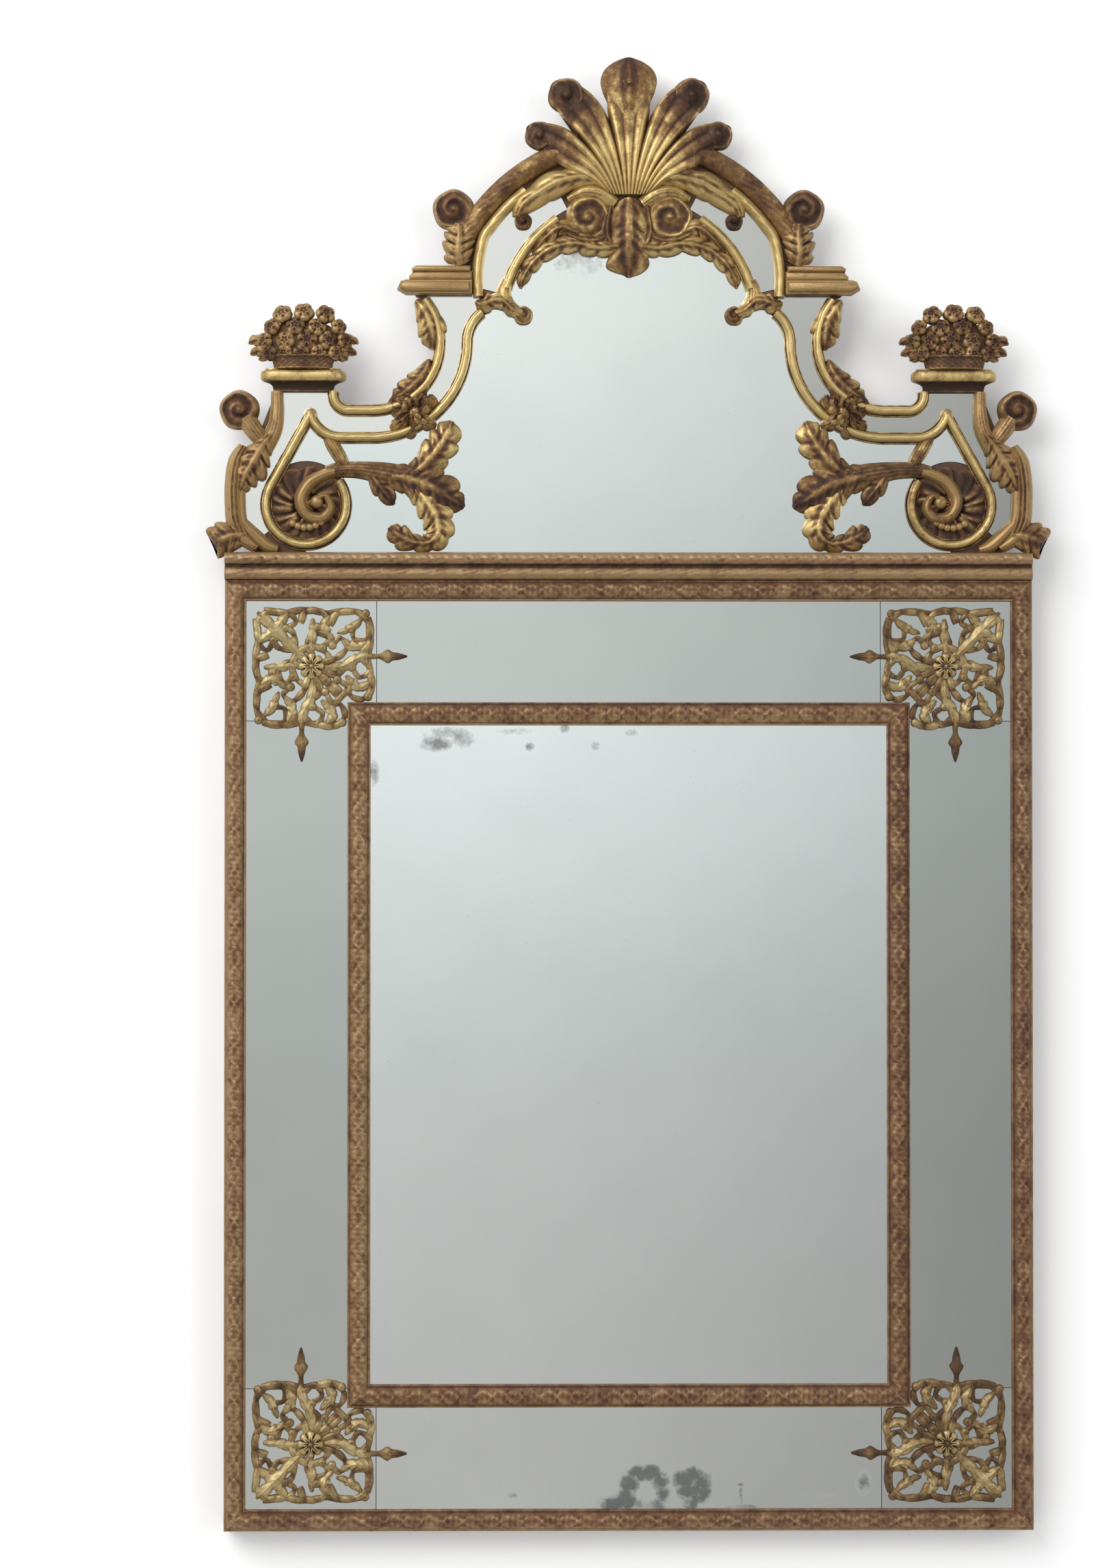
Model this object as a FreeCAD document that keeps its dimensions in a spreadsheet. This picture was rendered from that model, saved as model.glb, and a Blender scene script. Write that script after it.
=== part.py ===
import FreeCAD, Part
import math
import os
import Sketcher
from FreeCAD import Vector, Placement, Rotation

# Carved and gilded wall mirror: a rectangular frame with bordered plates and a separate arched crest.
# X runs to the viewer's right, the front faces -Y, the wall is the plane Y = 0 and Z runs up from the foot.

# Sizes, in mm, of the whole mirror; heights of the crest are measured from its foot.
# lower frame
frame_width = 948
frame_height = 1114
outer_face = 25
outer_wall = 16
outer_crown = 14
border_sight = 119
inner_face = 27
inner_tongue = 9
inner_crown = 13
face_step = 3
step_rise = 5
glass_thick = 4
glass_gap = 0.8
joint_past_across = 34
joint_past_up = 22
board_thick = 10
board_gap = 0.4
# crest layout, heights measured from the crest's foot
rail_height = 32
rail_low_band = 14
rail_groove = 3
rail_low_reach = 10
rail_high_reach = 11
rail_bulge = 6
arch_rise = 300
arch_outer = 230
arch_parting = 206
arch_inner = 193
arch_bead = 150
arch_crown = 16
sweep_in = 172
sweep_rise = 279
sweep_outer = 80
sweep_inner = 112
hook_radius = 45
ring_in = 95
ring_rise = 88
ring_radius = 47
console_radius = 82
pedestal_in = 92
cap_rise = 221
cap_height = 26
cap_half = 50
neck_half = 35
cap_reach = 26
peak_in = 100
peak_rise = 194
bracket_in = 136
corner_radius = 18
ledge_rise = 335
ledge_height = 33
ledge_inner = 172
ledge_tip = 272
ledge_top = 251
ledge_reach = 22
bead_width = 14
bead_crown = 15
plate_margin = 4
# carved ornament
shell_rise = 452
shell_height = 164
shell_relief = 22
volute_radius = 27
pendant_drop = 95
disc_radius = 24
disc_thick = 16
leaf_relief = 12
basket_half = 33
basket_height = 15
flower_half = 62
flower_height = 58
flower_deep = 17
basket_forward = 14
rosette_radius = 34
fret_inset = 6
fret_span = 144
fret_strap = 8
fret_rise = 5
fret_boss = 15
finial_length = 40
# back of the mirror
strut_across = 180
strut_width = 45
strut_thick = 12
strut_below = 250
strut_above = 265
hanger_space = 10
hanger_below = 110
hanger_plate_width = 26
hanger_plate_length = 52
hanger_plate_thick = 1.5
knuckle_radius = 4.7
knuckle_length = 18
ring_wire = 5
ring_play = 0.3
ring_half = 17
ring_drop = 44
ring_bend = 6
screw_head = 9
screw_shank = 4.5
screw_length = 18
screw_play = 0.1
block_length = 50
block_side = 10
# turns, in degrees
hook_end = 52
clasp_turn = 248
console_end = -40
band_start = 30
band_end = 52
bead_end = 56
strip_end = 64
ring_end = -216

named_sizes = {name: value for name, value in globals().items() if type(value) in (int, float)}

doc = FreeCAD.newDocument("GiltMirror")
sheet = doc.addObject("Spreadsheet::Sheet", "Sizes")


class Size(float):
    # a number that keeps the sheet expression it was worked out from
    def __new__(cls, value, text):
        made = float.__new__(cls, value)
        made.text = text
        return made

    def __add__(self, other):
        return Size(float(self) + float(other), "(%s + %s)" % (self.text, text_of(other)))

    def __radd__(self, other):
        return Size(float(other) + float(self), "(%s + %s)" % (text_of(other), self.text))

    def __sub__(self, other):
        return Size(float(self) - float(other), "(%s - %s)" % (self.text, text_of(other)))

    def __rsub__(self, other):
        return Size(float(other) - float(self), "(%s - %s)" % (text_of(other), self.text))

    def __mul__(self, other):
        return Size(float(self) * float(other), "(%s * %s)" % (self.text, text_of(other)))

    def __rmul__(self, other):
        return Size(float(other) * float(self), "(%s * %s)" % (text_of(other), self.text))

    def __truediv__(self, other):
        return Size(float(self) / float(other), "(%s / %s)" % (self.text, text_of(other)))

    def __neg__(self):
        return Size(-float(self), "(-1 * %s)" % self.text)


def text_of(number):
    return number.text if isinstance(number, Size) else repr(float(number))


class Named:
    pass


S = Named()
for row, (alias, value) in enumerate(named_sizes.items(), 1):
    sheet.set("A%d" % row, alias)
    sheet.set("B%d" % row, str(value))
    sheet.setAlias("B%d" % row, alias)
    setattr(S, alias, Size(value, "Sizes." + alias))
doc.recompute()

half_width = S.frame_width / 2
strut_back = S.hanger_space
board_back = S.hanger_space + S.strut_thick
glass_back = board_back + S.board_thick
glass_front = glass_back + S.glass_thick
base = S.frame_height
sweep_x = half_width - S.sweep_in
ring_x = half_width - S.ring_in
pedestal_x = half_width - S.pedestal_in
peak_x = half_width - S.peak_in
bracket_x = half_width - S.bracket_in
nodes = {}


def bind(thing, prop, number):
    # a property driven from the sheet, or set outright where it is a plain number
    if isinstance(number, Size):
        thing.setExpression(prop, number.text)
    else:
        thing.setExpression(prop, repr(float(number)))


def put(thing, across=0, back=0, up=0, turn=None):
    # placed by its centre across, its distance from the wall and its height
    thing.Placement = Placement(Vector(across, back, up), turn or Rotation())
    bind(thing, "Placement.Base.x", across)
    bind(thing, "Placement.Base.y", back)
    bind(thing, "Placement.Base.z", up)


def add(kind, label):
    thing = doc.addObject(kind, label)
    thing.Label = label
    return thing


def keep(label, thing):
    thing.Label = label
    nodes[label] = thing
    return thing


def carved(label, shape):
    thing = add("Part::Feature", label)
    thing.Shape = shape
    return thing


def new_sketch(body, name, role):
    sketch = body.newObject("Sketcher::SketchObject", name)
    plane = [part for part in body.Origin.OriginFeatures if part.Role == role][0]
    sketch.AttachmentSupport = [(plane, "")]
    sketch.MapMode = "FlatFace"
    return sketch


def fix(sketch, geo, end, corner):
    # holds one corner by its two distances from the sketch's origin
    for axis, kind, number in ((-2, "DistanceX", corner[0]), (-1, "DistanceY", corner[1])):
        if abs(float(number)) < 1e-9:
            sketch.addConstraint(Sketcher.Constraint("PointOnObject", geo, end, axis))
        else:
            at = sketch.addConstraint(Sketcher.Constraint(kind, -1, 1, geo, end, float(number)))
            bind(sketch, "Constraints[%d]" % at, number)


def draw(sketch, corners, rises=None):
    # closed outline drawn anticlockwise; a rise bows its edge outward into an arc
    rises = rises or {}
    count = len(corners)
    ends = []
    for i in range(count):
        a = Vector(corners[i][0], corners[i][1], 0)
        b = Vector(corners[(i + 1) % count][0], corners[(i + 1) % count][1], 0)
        if i in rises:
            out = Vector(b.y - a.y, a.x - b.x, 0).normalize()
            geo = sketch.addGeometry(Part.Arc(a, (a + b) * 0.5 + out * float(rises[i]), b), False)
        else:
            geo = sketch.addGeometry(Part.LineSegment(a, b), False)
        first = 1 if sketch.getPoint(geo, 1).distanceToPoint(a) < 1e-6 else 2
        ends.append((geo, first, 3 - first))
    for i in range(count):
        sketch.addConstraint(Sketcher.Constraint("Coincident", ends[i][0], ends[i][2],
                                                 *ends[(i + 1) % count][:2]))
        fix(sketch, ends[i][0], ends[i][1], corners[i])
        if i in rises:
            b = corners[(i + 1) % count]
            chord = b[0] - corners[i][0] if b[0] != corners[i][0] else b[1] - corners[i][1]
            radius = chord * chord / (8 * rises[i]) + rises[i] / 2
            at = sketch.addConstraint(Sketcher.Constraint("Radius", ends[i][0], float(radius)))
            bind(sketch, "Constraints[%d]" % at, radius)


def pad(body, sketch, length, symmetric=False):
    feature = body.newObject("PartDesign::Pad", sketch.Name + "_pad")
    feature.Profile = sketch
    feature.SideType = "Symmetric" if symmetric else "One side"
    bind(feature, "Length", length)
    sketch.Visibility = False
    return feature


def mitred(label, length, face, section, rises, notch=None):
    # a length of moulding along X whose outer edge lies on Z = 0, mitred at both ends
    body = add("PartDesign::Body", label)
    profile = new_sketch(body, label + "_section", "YZ_Plane")
    draw(profile, section, rises)
    pad(body, profile, length, True)
    mitre = new_sketch(body, label + "_mitre", "XZ_Plane")
    end = length / 2
    draw(mitre, [(end + 1, -1), (end + 1, face + 1), (end - face - 1, face + 1)])
    draw(mitre, [(-end - 1, -1), (face + 1 - end, face + 1), (-end - 1, face + 1)])
    cut = body.newObject("PartDesign::Pocket", label + "_mitre_cut")
    cut.Profile = mitre
    cut.Type = "ThroughAll"
    cut.SideType = "Symmetric"
    if notch:
        across, width, tall, deep = notch
        housing = new_sketch(body, label + "_housing", "XZ_Plane")
        for side in (-1, 1):
            low, high = side * across - width / 2, side * across + width / 2
            draw(housing, [(low, -1), (high, -1), (high, tall), (low, tall)])
        seat = body.newObject("PartDesign::Pocket", label + "_housing_cut")
        seat.Profile = housing
        seat.Reversed = True
        bind(seat, "Length", deep)
    return keep(label, body)


def four_sides(name, width, height, low, face, section, rises, notch=None):
    # bottom and top rails, then left and right stiles, all of one section
    turns = {"rail_bottom": 0, "rail_top": 180, "stile_left": 90, "stile_right": -90}
    for side, angle in turns.items():
        upright = side.startswith("stile")
        here = mitred(name + "_" + side, height if upright else width, face, section, rises,
                      notch if side == "rail_top" else None)
        turn = Rotation(Vector(0, 1, 0), angle)
        if upright:
            put(here, width / 2 * (1 if angle < 0 else -1), 0, low + height / 2, turn)
        else:
            put(here, 0, 0, low + height if angle else low, turn)


# outer moulding: a hollow-backed length with a rounded front between two flat steps
front = glass_front + S.step_rise
outer_section = [(0, 0), (0, S.outer_wall), (-glass_front, S.outer_wall), (-glass_front, S.outer_face),
                 (-front, S.outer_face), (-front, S.outer_face - S.face_step),
                 (-front, S.face_step), (-front, 0)]
four_sides("outer", S.frame_width, S.frame_height, 0 * base, S.outer_face, outer_section,
           {5: S.outer_crown - S.step_rise},
           (S.strut_across, S.strut_width + 2 * S.board_gap, S.outer_wall, board_back))

# inner moulding: a T-section whose tongue stands between the middle plate and the border plates
inner_width = S.frame_width - 2 * (S.outer_face + S.border_sight)
inner_height = S.frame_height - 2 * (S.outer_face + S.border_sight)
inner_low = S.outer_face + S.border_sight
cheek = (S.inner_face - S.inner_tongue) / 2
inner_section = [(-glass_back, cheek), (-glass_back, cheek + S.inner_tongue),
                 (-glass_front, cheek + S.inner_tongue),
                 (-glass_front, S.inner_face), (-front, S.inner_face), (-front, S.inner_face - S.face_step),
                 (-front, S.face_step), (-front, 0), (-glass_front, 0), (-glass_front, cheek)]
four_sides("inner", inner_width, inner_height, inner_low, S.inner_face, inner_section,
           {5: S.inner_crown - S.step_rise})


def slab(label, low_x, high_x, back, deep, low_z, high_z):
    # a plain board or plate standing parallel to the wall
    box = add("Part::Box", label)
    bind(box, "Length", high_x - low_x)
    bind(box, "Width", deep)
    bind(box, "Height", high_z - low_z)
    put(box, low_x, -(back + deep), low_z)
    return keep(label, box)


# mirror plates of the lower frame
rebate_x = half_width - S.outer_wall - S.glass_gap
rebate_top = base - S.outer_wall - S.glass_gap
rebate_low = S.outer_wall + S.glass_gap
tongue_x = inner_width / 2 - cheek + S.glass_gap
tongue_top = inner_low + inner_height - cheek + S.glass_gap
tongue_low = inner_low + cheek - S.glass_gap
middle_x = inner_width / 2 - cheek - S.inner_tongue - S.glass_gap
middle_low = inner_low + cheek + S.inner_tongue + S.glass_gap
middle_top = inner_low + inner_height - cheek - S.inner_tongue - S.glass_gap
joint_x = inner_width / 2 - S.joint_past_across
joint_low = inner_low + S.joint_past_up
joint_top = inner_low + inner_height - S.joint_past_up
seam = S.glass_gap / 2
slab("center_glass", -middle_x, middle_x, glass_back, S.glass_thick, middle_low, middle_top)
slab("border_glass_left", -rebate_x, -tongue_x, glass_back, S.glass_thick, joint_low + seam,
     joint_top - seam)
slab("border_glass_right", tongue_x, rebate_x, glass_back, S.glass_thick, joint_low + seam,
     joint_top - seam)
slab("border_glass_top", seam - joint_x, joint_x - seam, glass_back, S.glass_thick, tongue_top, rebate_top)
slab("border_glass_bottom", seam - joint_x, joint_x - seam, glass_back, S.glass_thick, rebate_low,
     tongue_low)


def corner_plate(label, across, up):
    # a square plate whose inner corner is cut out round the corner of the inner moulding
    body = add("PartDesign::Body", label)
    outline = new_sketch(body, label + "_outline", "XZ_Plane")
    inner, outer, line = tongue_x * across, rebate_x * across, (joint_x + seam) * across
    rail = tongue_top if up else tongue_low
    edge = rebate_top if up else rebate_low
    level = joint_top + seam if up else joint_low - seam
    corners = [(line, rail), (line, edge), (outer, edge), (outer, level), (inner, level), (inner, rail)]
    draw(outline, corners)
    pad(body, outline, S.glass_thick)
    put(body, 0, -glass_back, 0)
    return keep(label, body)


for name, across, up in (("top_left", -1, 1), ("top_right", 1, 1), ("bottom_left", -1, 0),
                         ("bottom_right", 1, 0)):
    corner_plate("corner_glass_" + name, across, up)


def point(across, up, deep=None):
    return Vector(across, -(glass_front if deep is None else deep), up)


def on_circle(middle, radius, degrees):
    turn = math.radians(degrees)
    return (middle[0] + radius * math.cos(turn), middle[1] + radius * math.sin(turn))


def line_to(a, b):
    return Part.LineSegment(point(*a), point(*b)).toShape()


def arc_on(middle, radius, start, end):
    low, high = min(start, end), max(start, end)
    steps = [on_circle(middle, radius, low + (high - low) * share) for share in (0, 0.5, 1)]
    return Part.Arc(*[point(*step) for step in steps]).toShape()


def tangent_angle(start, middle, radius):
    # where the line from a point above touches the outer side of a circle
    across, up = start[0] - middle[0], start[1] - middle[1]
    return math.degrees(math.atan2(up, across) - math.acos(radius / math.hypot(across, up)))


def deepen(face, low, high):
    # a flat face carried from one distance to another in front of the wall
    moved = face.copy()
    moved.translate(Vector(0, glass_front - low, 0))
    return moved.extrude(Vector(0, low - high, 0))


# crest layout on the right-hand side, in X and Z
arch_middle = (0.0, float(base + S.arch_rise))
sweep_middle = (float(sweep_x), float(base + S.sweep_rise))
hook_middle = (float(sweep_x - S.sweep_inner - S.hook_radius), sweep_middle[1])
ring_middle = (float(ring_x), float(base + S.ring_rise))
peak = (float(peak_x), float(base + S.peak_rise))
inner_level = sweep_middle[1] - S.sweep_inner
outer_level = sweep_middle[1] - S.sweep_outer
cap_low = float(base + S.cap_rise)
cap_top = float(base + S.cap_rise + S.cap_height)
ledge_low = float(base + S.ledge_rise)
ledge_high = float(base + S.ledge_rise + S.ledge_height)
neck_in = float(pedestal_x - S.neck_half)
neck_out = float(pedestal_x + S.neck_half)
bracket_run = peak[0] - bracket_x
bracket_climb = peak[1] - inner_level
bracket_radius = (bracket_run ** 2 + bracket_climb ** 2) / (2 * bracket_climb)
bracket_middle = (float(bracket_x), inner_level + bracket_radius)
bracket_end = math.degrees(math.atan2(peak[1] - bracket_middle[1], peak[0] - bracket_middle[0])) + 360
ring_touch = tangent_angle(peak, ring_middle, float(S.ring_radius))
console_start = (neck_out - 2, cap_low)
console_touch = tangent_angle(console_start, ring_middle, float(S.console_radius))
sweep_top = 180 - math.degrees(math.asin(min(1, (ledge_low - 6 - sweep_middle[1]) / S.sweep_outer)))
corner_middle = (neck_in - S.corner_radius, outer_level + S.corner_radius)

inner_path = [arc_on(hook_middle, float(S.hook_radius), hook_end, 0),
              arc_on(sweep_middle, float(S.sweep_inner), 180, 270),
              line_to((sweep_middle[0], inner_level), (float(bracket_x), inner_level)),
              arc_on(bracket_middle, bracket_radius, 270, bracket_end)]
leg_path = [line_to(peak, on_circle(ring_middle, float(S.ring_radius), ring_touch)),
            arc_on(ring_middle, float(S.ring_radius), ring_touch, ring_end)]
outer_path = [arc_on(sweep_middle, float(S.sweep_outer), sweep_top, 270),
              line_to((sweep_middle[0], outer_level), (corner_middle[0], outer_level)),
              arc_on(corner_middle, float(S.corner_radius), 270, 360),
              line_to((neck_in, corner_middle[1]), (neck_in, cap_low))]


def bead(path, width, crown):
    # a half-round bead with small flat edges swept along a line that lies on the plates
    wire = Part.Wire(Part.__sortEdges__(path))
    edge = wire.OrderedEdges[0]
    start = wire.OrderedVertexes[0].Point
    along = edge.tangentAt(edge.FirstParameter)
    if edge.valueAt(edge.FirstParameter).distanceToPoint(start) > 1e-6:
        along = edge.tangentAt(edge.LastParameter) * -1
    out = Vector(0, -1, 0)
    side = along.cross(out).normalize()
    half, step = width / 2, crown / 4

    def at(across, high):
        return start + side * float(across) + out * float(high)

    section = [Part.makeLine(at(-half, 0), at(half, 0)), Part.makeLine(at(half, 0), at(half, step)),
               Part.Arc(at(half, step), at(0, crown), at(-half, step)).toShape(),
               Part.makeLine(at(-half, step), at(-half, 0))]
    return wire.makePipeShell([Part.Wire(section)], True, False, 1)


def leaf(line, halves, heights, deep=None):
    # rounded leaf or scroll: flat-backed sections lofted along a curved line on the plates
    deep = float(glass_front if deep is None else deep)
    wires = []
    for i, (x, z) in enumerate(line):
        a, b = line[max(i - 1, 0)], line[min(i + 1, len(line) - 1)]
        along = Vector(b[0] - a[0], 0, b[1] - a[1]).normalize()
        side = Vector(along.z, 0, -along.x) * float(halves[i])
        here = Vector(x, -deep, z)
        crown = here + Vector(0, -float(heights[i]), 0)
        wires.append(Part.Wire([Part.makeLine(here - side, here + side),
                                Part.Arc(here + side, crown, here - side).toShape()]))
    return Part.makeLoft(wires, True, False)


def join(shapes):
    whole = shapes[0]
    for shape in shapes[1:]:
        whole = whole.fuse(shape)
    return whole.removeSplitter()


def disc(middle, radius, thick, deep=None):
    # round boss with a rolled rim and an eye, standing on the plates
    deep = float(glass_front if deep is None else deep)
    turned = [(0, 0), (radius, 0), (radius, thick * 0.55), (radius * 0.84, thick * 0.8),
              (radius * 0.66, thick * 0.6),
              (radius * 0.5, thick * 0.6), (radius * 0.34, thick), (0, thick)]
    wire = Part.makePolygon([Vector(middle[0] + x, -deep - y, middle[1]) for x, y in turned + turned[:1]])
    return Part.Face(wire).revolve(Vector(middle[0], 0, middle[1]), Vector(0, 1, 0), 360)


def mirrored(label, source):
    image = add("Part::Mirroring", label)
    image.Source = source
    image.Normal = Vector(1, 0, 0)
    return keep(label, image)


def both_sides(name, shape):
    # the right-hand carving and its mirror image on the left
    right = keep(name + "_right", carved(name + "_right", shape))
    mirrored(name + "_left", right)


def leaf_rows(rows, middle=(0, 0), flip=1):
    # a leaf from rows of place across, height, half width and relief, measured from a middle
    line = [(middle[0] + flip * row[0], middle[1] + row[1]) for row in rows]
    return leaf(line, [row[2] for row in rows], [row[3] for row in rows])


def largest(shape):
    # the one solid of a cut carving, without the chips that the cut leaves
    return max(shape.Solids, key=lambda solid: solid.Volume)


# outlines of the crest plates, each drawn in by a margin from the centre lines of the mouldings around it
arch_low = math.degrees(math.asin((ledge_low + 12 - arch_middle[1]) / S.arch_bead))
strip_low = math.degrees(math.asin((ledge_low + 6 - arch_middle[1]) / S.arch_inner))


def turn_by(length, radius):
    return math.degrees(length / radius)


def center_edges(m):
    foot = float(base + S.rail_height) - 12 + m
    ring, hook = S.ring_radius + m, S.hook_radius - m
    meet = ring_touch + math.degrees(math.acos((S.ring_radius - m) / ring))
    way = math.radians(ring_touch)
    along = (-math.sin(way), math.cos(way))
    start = on_circle(ring_middle, S.ring_radius - m, ring_touch)
    gap = (start[0] - bracket_middle[0], start[1] - bracket_middle[1])
    slope = gap[0] * along[0] + gap[1] * along[1]
    reach = -slope - math.sqrt(slope ** 2 - gap[0] ** 2 - gap[1] ** 2 + (bracket_radius + m) ** 2)
    top = (start[0] + along[0] * reach, start[1] + along[1] * reach)
    top_angle = math.degrees(math.atan2(top[1] - bracket_middle[1], top[0] - bracket_middle[0])) + 360
    inside = (ring_middle[0], foot)
    right = [line_to((0, foot), inside), line_to(inside, (inside[0], ring_middle[1] - ring)),
             arc_on(ring_middle, ring, 270, meet), line_to(on_circle(ring_middle, ring, meet), top),
             arc_on(bracket_middle, bracket_radius + m, 270, top_angle),
             line_to((bracket_middle[0], inner_level - m), (sweep_middle[0], inner_level - m)),
             arc_on(sweep_middle, S.sweep_inner + m, 270, 180), arc_on(hook_middle, hook, 0, hook_end),
             line_to(on_circle(hook_middle, hook, hook_end),
                     on_circle(arch_middle, S.arch_bead - m, arch_low)),
             arc_on(arch_middle, S.arch_bead - m, arch_low, 90)]
    return right + [edge.mirror(Vector(), Vector(1, 0, 0)) for edge in right]


def sweep_edges(m):
    outer, inner, hook = S.sweep_outer + m, S.sweep_inner - m, S.hook_radius + m
    top = ledge_low + 6 - m
    turn = 180 - math.degrees(math.asin(min(1, (top - sweep_middle[1]) / outer)))
    far, near = clasp_turn - turn_by(m, outer), clasp_turn - turn_by(m, inner)
    corner = on_circle(hook_middle, hook, hook_end)
    return [line_to(corner, (corner[0], top)),
            line_to((corner[0], top), on_circle(sweep_middle, outer, turn)),
            arc_on(sweep_middle, outer, turn, far),
            line_to(on_circle(sweep_middle, outer, far), on_circle(sweep_middle, inner, near)),
            arc_on(sweep_middle, inner, 180, near), arc_on(hook_middle, hook, 0, hook_end)]


def wing_edges(m):
    outer, inner, top = S.sweep_outer + m, S.sweep_inner - m, cap_low + 5 - m
    far, near = clasp_turn + turn_by(m, outer), clasp_turn + turn_by(m, inner)
    console, ring = S.console_radius - m, S.ring_radius + m
    touch = on_circle(ring_middle, console, console_touch)
    climb = (top - touch[1]) / math.cos(math.radians(console_touch))
    shoulder = (touch[0] - climb * math.sin(math.radians(console_touch)), top)
    tip, tail = console_end + turn_by(m, console), console_end + turn_by(m, ring)
    leg = on_circle(peak, m, ring_touch)
    return [line_to(on_circle(sweep_middle, inner, near), on_circle(sweep_middle, outer, far)),
            arc_on(sweep_middle, outer, far, 270),
            line_to((sweep_middle[0], outer_level - m), (corner_middle[0], outer_level - m)),
            arc_on(corner_middle, S.corner_radius + m, 270, 360),
            line_to((neck_in + m, corner_middle[1]), (neck_in + m, top)),
            line_to((neck_in + m, top), shoulder),
            line_to(shoulder, touch), arc_on(ring_middle, console, tip, console_touch),
            line_to(on_circle(ring_middle, console, tip), on_circle(ring_middle, ring, tail)),
            arc_on(ring_middle, ring, tail, ring_touch),
            line_to(on_circle(ring_middle, ring, ring_touch), leg),
            line_to(leg, on_circle(bracket_middle, bracket_radius - m, bracket_end)),
            arc_on(bracket_middle, bracket_radius - m, 270, bracket_end),
            line_to((bracket_middle[0], inner_level + m), (sweep_middle[0], inner_level + m)),
            arc_on(sweep_middle, inner, near, 270)]


def arch_edges(m):
    near, far = S.arch_bead + m, S.arch_inner + 7 - m
    foot, end = strip_low + turn_by(m, near), strip_end - turn_by(m, near)
    return [arc_on(arch_middle, near, foot, end),
            line_to(on_circle(arch_middle, near, end), on_circle(arch_middle, far, end)),
            arc_on(arch_middle, far, foot, end),
            line_to(on_circle(arch_middle, far, foot), on_circle(arch_middle, near, foot))]


def closed(edges):
    return Part.Face(Part.Wire(Part.__sortEdges__(edges)))


# crest board: the silhouette behind the carving, with a shallow seat for each plate
wing_end = on_circle(ring_middle, float(S.console_radius), -44)
sweep_start = on_circle(sweep_middle, float(S.sweep_outer), sweep_top)
rise_side = on_circle(arch_middle, float(S.arch_outer) - 6, 24)
board_right = [line_to((0, float(base)), (float(half_width) - 6, float(base))),
               line_to((float(half_width) - 6, float(base)), (float(half_width) - 6, wing_end[1])),
               line_to((float(half_width) - 6, wing_end[1]), wing_end),
               arc_on(ring_middle, float(S.console_radius), -44, console_touch),
               line_to(on_circle(ring_middle, float(S.console_radius), console_touch), console_start),
               line_to(console_start, (console_start[0], cap_top)),
               line_to((console_start[0], cap_top), (neck_in, cap_top)),
               line_to((neck_in, cap_top), (neck_in, corner_middle[1])),
               arc_on(corner_middle, float(S.corner_radius), 0, -90),
               line_to((corner_middle[0], outer_level), (sweep_middle[0], outer_level)),
               arc_on(sweep_middle, float(S.sweep_outer), 270, sweep_top),
               line_to(sweep_start, (float(S.ledge_top), ledge_low)),
               line_to((float(S.ledge_top), ledge_low), (float(S.ledge_top) - 8, ledge_high - 4)),
               line_to((float(S.ledge_top) - 8, ledge_high - 4), (rise_side[0], ledge_high - 4)),
               line_to((rise_side[0], ledge_high - 4), rise_side),
               arc_on(arch_middle, float(S.arch_outer) - 6, 24, 90)]
board_left = [edge.mirror(Vector(), Vector(1, 0, 0)) for edge in board_right]
board_shape = deepen(closed(board_right + board_left), board_back, glass_front)
plates = {"center": center_edges, "sweep": sweep_edges, "wing": wing_edges, "arch": arch_edges}
for name, edges in plates.items():
    seat = deepen(closed(edges(float(S.plate_margin))), glass_back, glass_front)
    plate = deepen(closed(edges(float(S.plate_margin + S.glass_gap))), glass_back, glass_front)
    board_shape = board_shape.cut(seat)
    if name == "center":
        keep("crest_glass_center", carved("crest_glass_center", plate))
    else:
        board_shape = board_shape.cut(seat.mirror(Vector(), Vector(1, 0, 0)))
        both_sides("crest_glass_" + name, plate)

# mouldings of the crest
leaf_round = S.sweep_outer - 12
upper_leaf = [(137, 4, 9), (147, 12, 14), (160, 14, 15), (174, 11, 13), (184, 3, 8)]
lower_leaf = [(197, 4, 9), (208, 11, 14), (222, 13, 15), (236, 9, 13)]
sweep_bead = bead(outer_path, S.bead_width, S.bead_crown)
for rows in (upper_leaf, lower_leaf):
    sweep_bead = sweep_bead.fuse(leaf_rows([(*on_circle(sweep_middle, leaf_round, turn), half, high)
                                            for turn, half, high in rows]))
inner_bead = bead(inner_path + leg_path, S.bead_width, S.bead_crown)
both_sides("sweep_moulding", sweep_bead)
both_sides("inner_moulding", inner_bead)

# crest rail: a broad rounded band over a narrow one, with a groove between them
high_front = glass_front + S.rail_high_reach
low_front = glass_front + S.rail_low_reach
groove_front = low_front - S.rail_groove
groove_top = S.rail_low_band + S.rail_groove
rail = add("PartDesign::Body", "crest_rail")
rail_sketch = new_sketch(rail, "crest_rail_section", "YZ_Plane")
draw(rail_sketch, [(-glass_front, 0), (-glass_front, S.rail_height), (-high_front, S.rail_height),
                   (-high_front, groove_top), (-groove_front, groove_top), (-groove_front, S.rail_low_band),
                   (-low_front, S.rail_low_band), (-low_front, 0)],
     {2: S.rail_bulge, 6: S.rail_bulge - 2})
pad(rail, rail_sketch, S.frame_width, True)
put(rail, 0, 0, base)
keep("crest_rail", rail)

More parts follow.
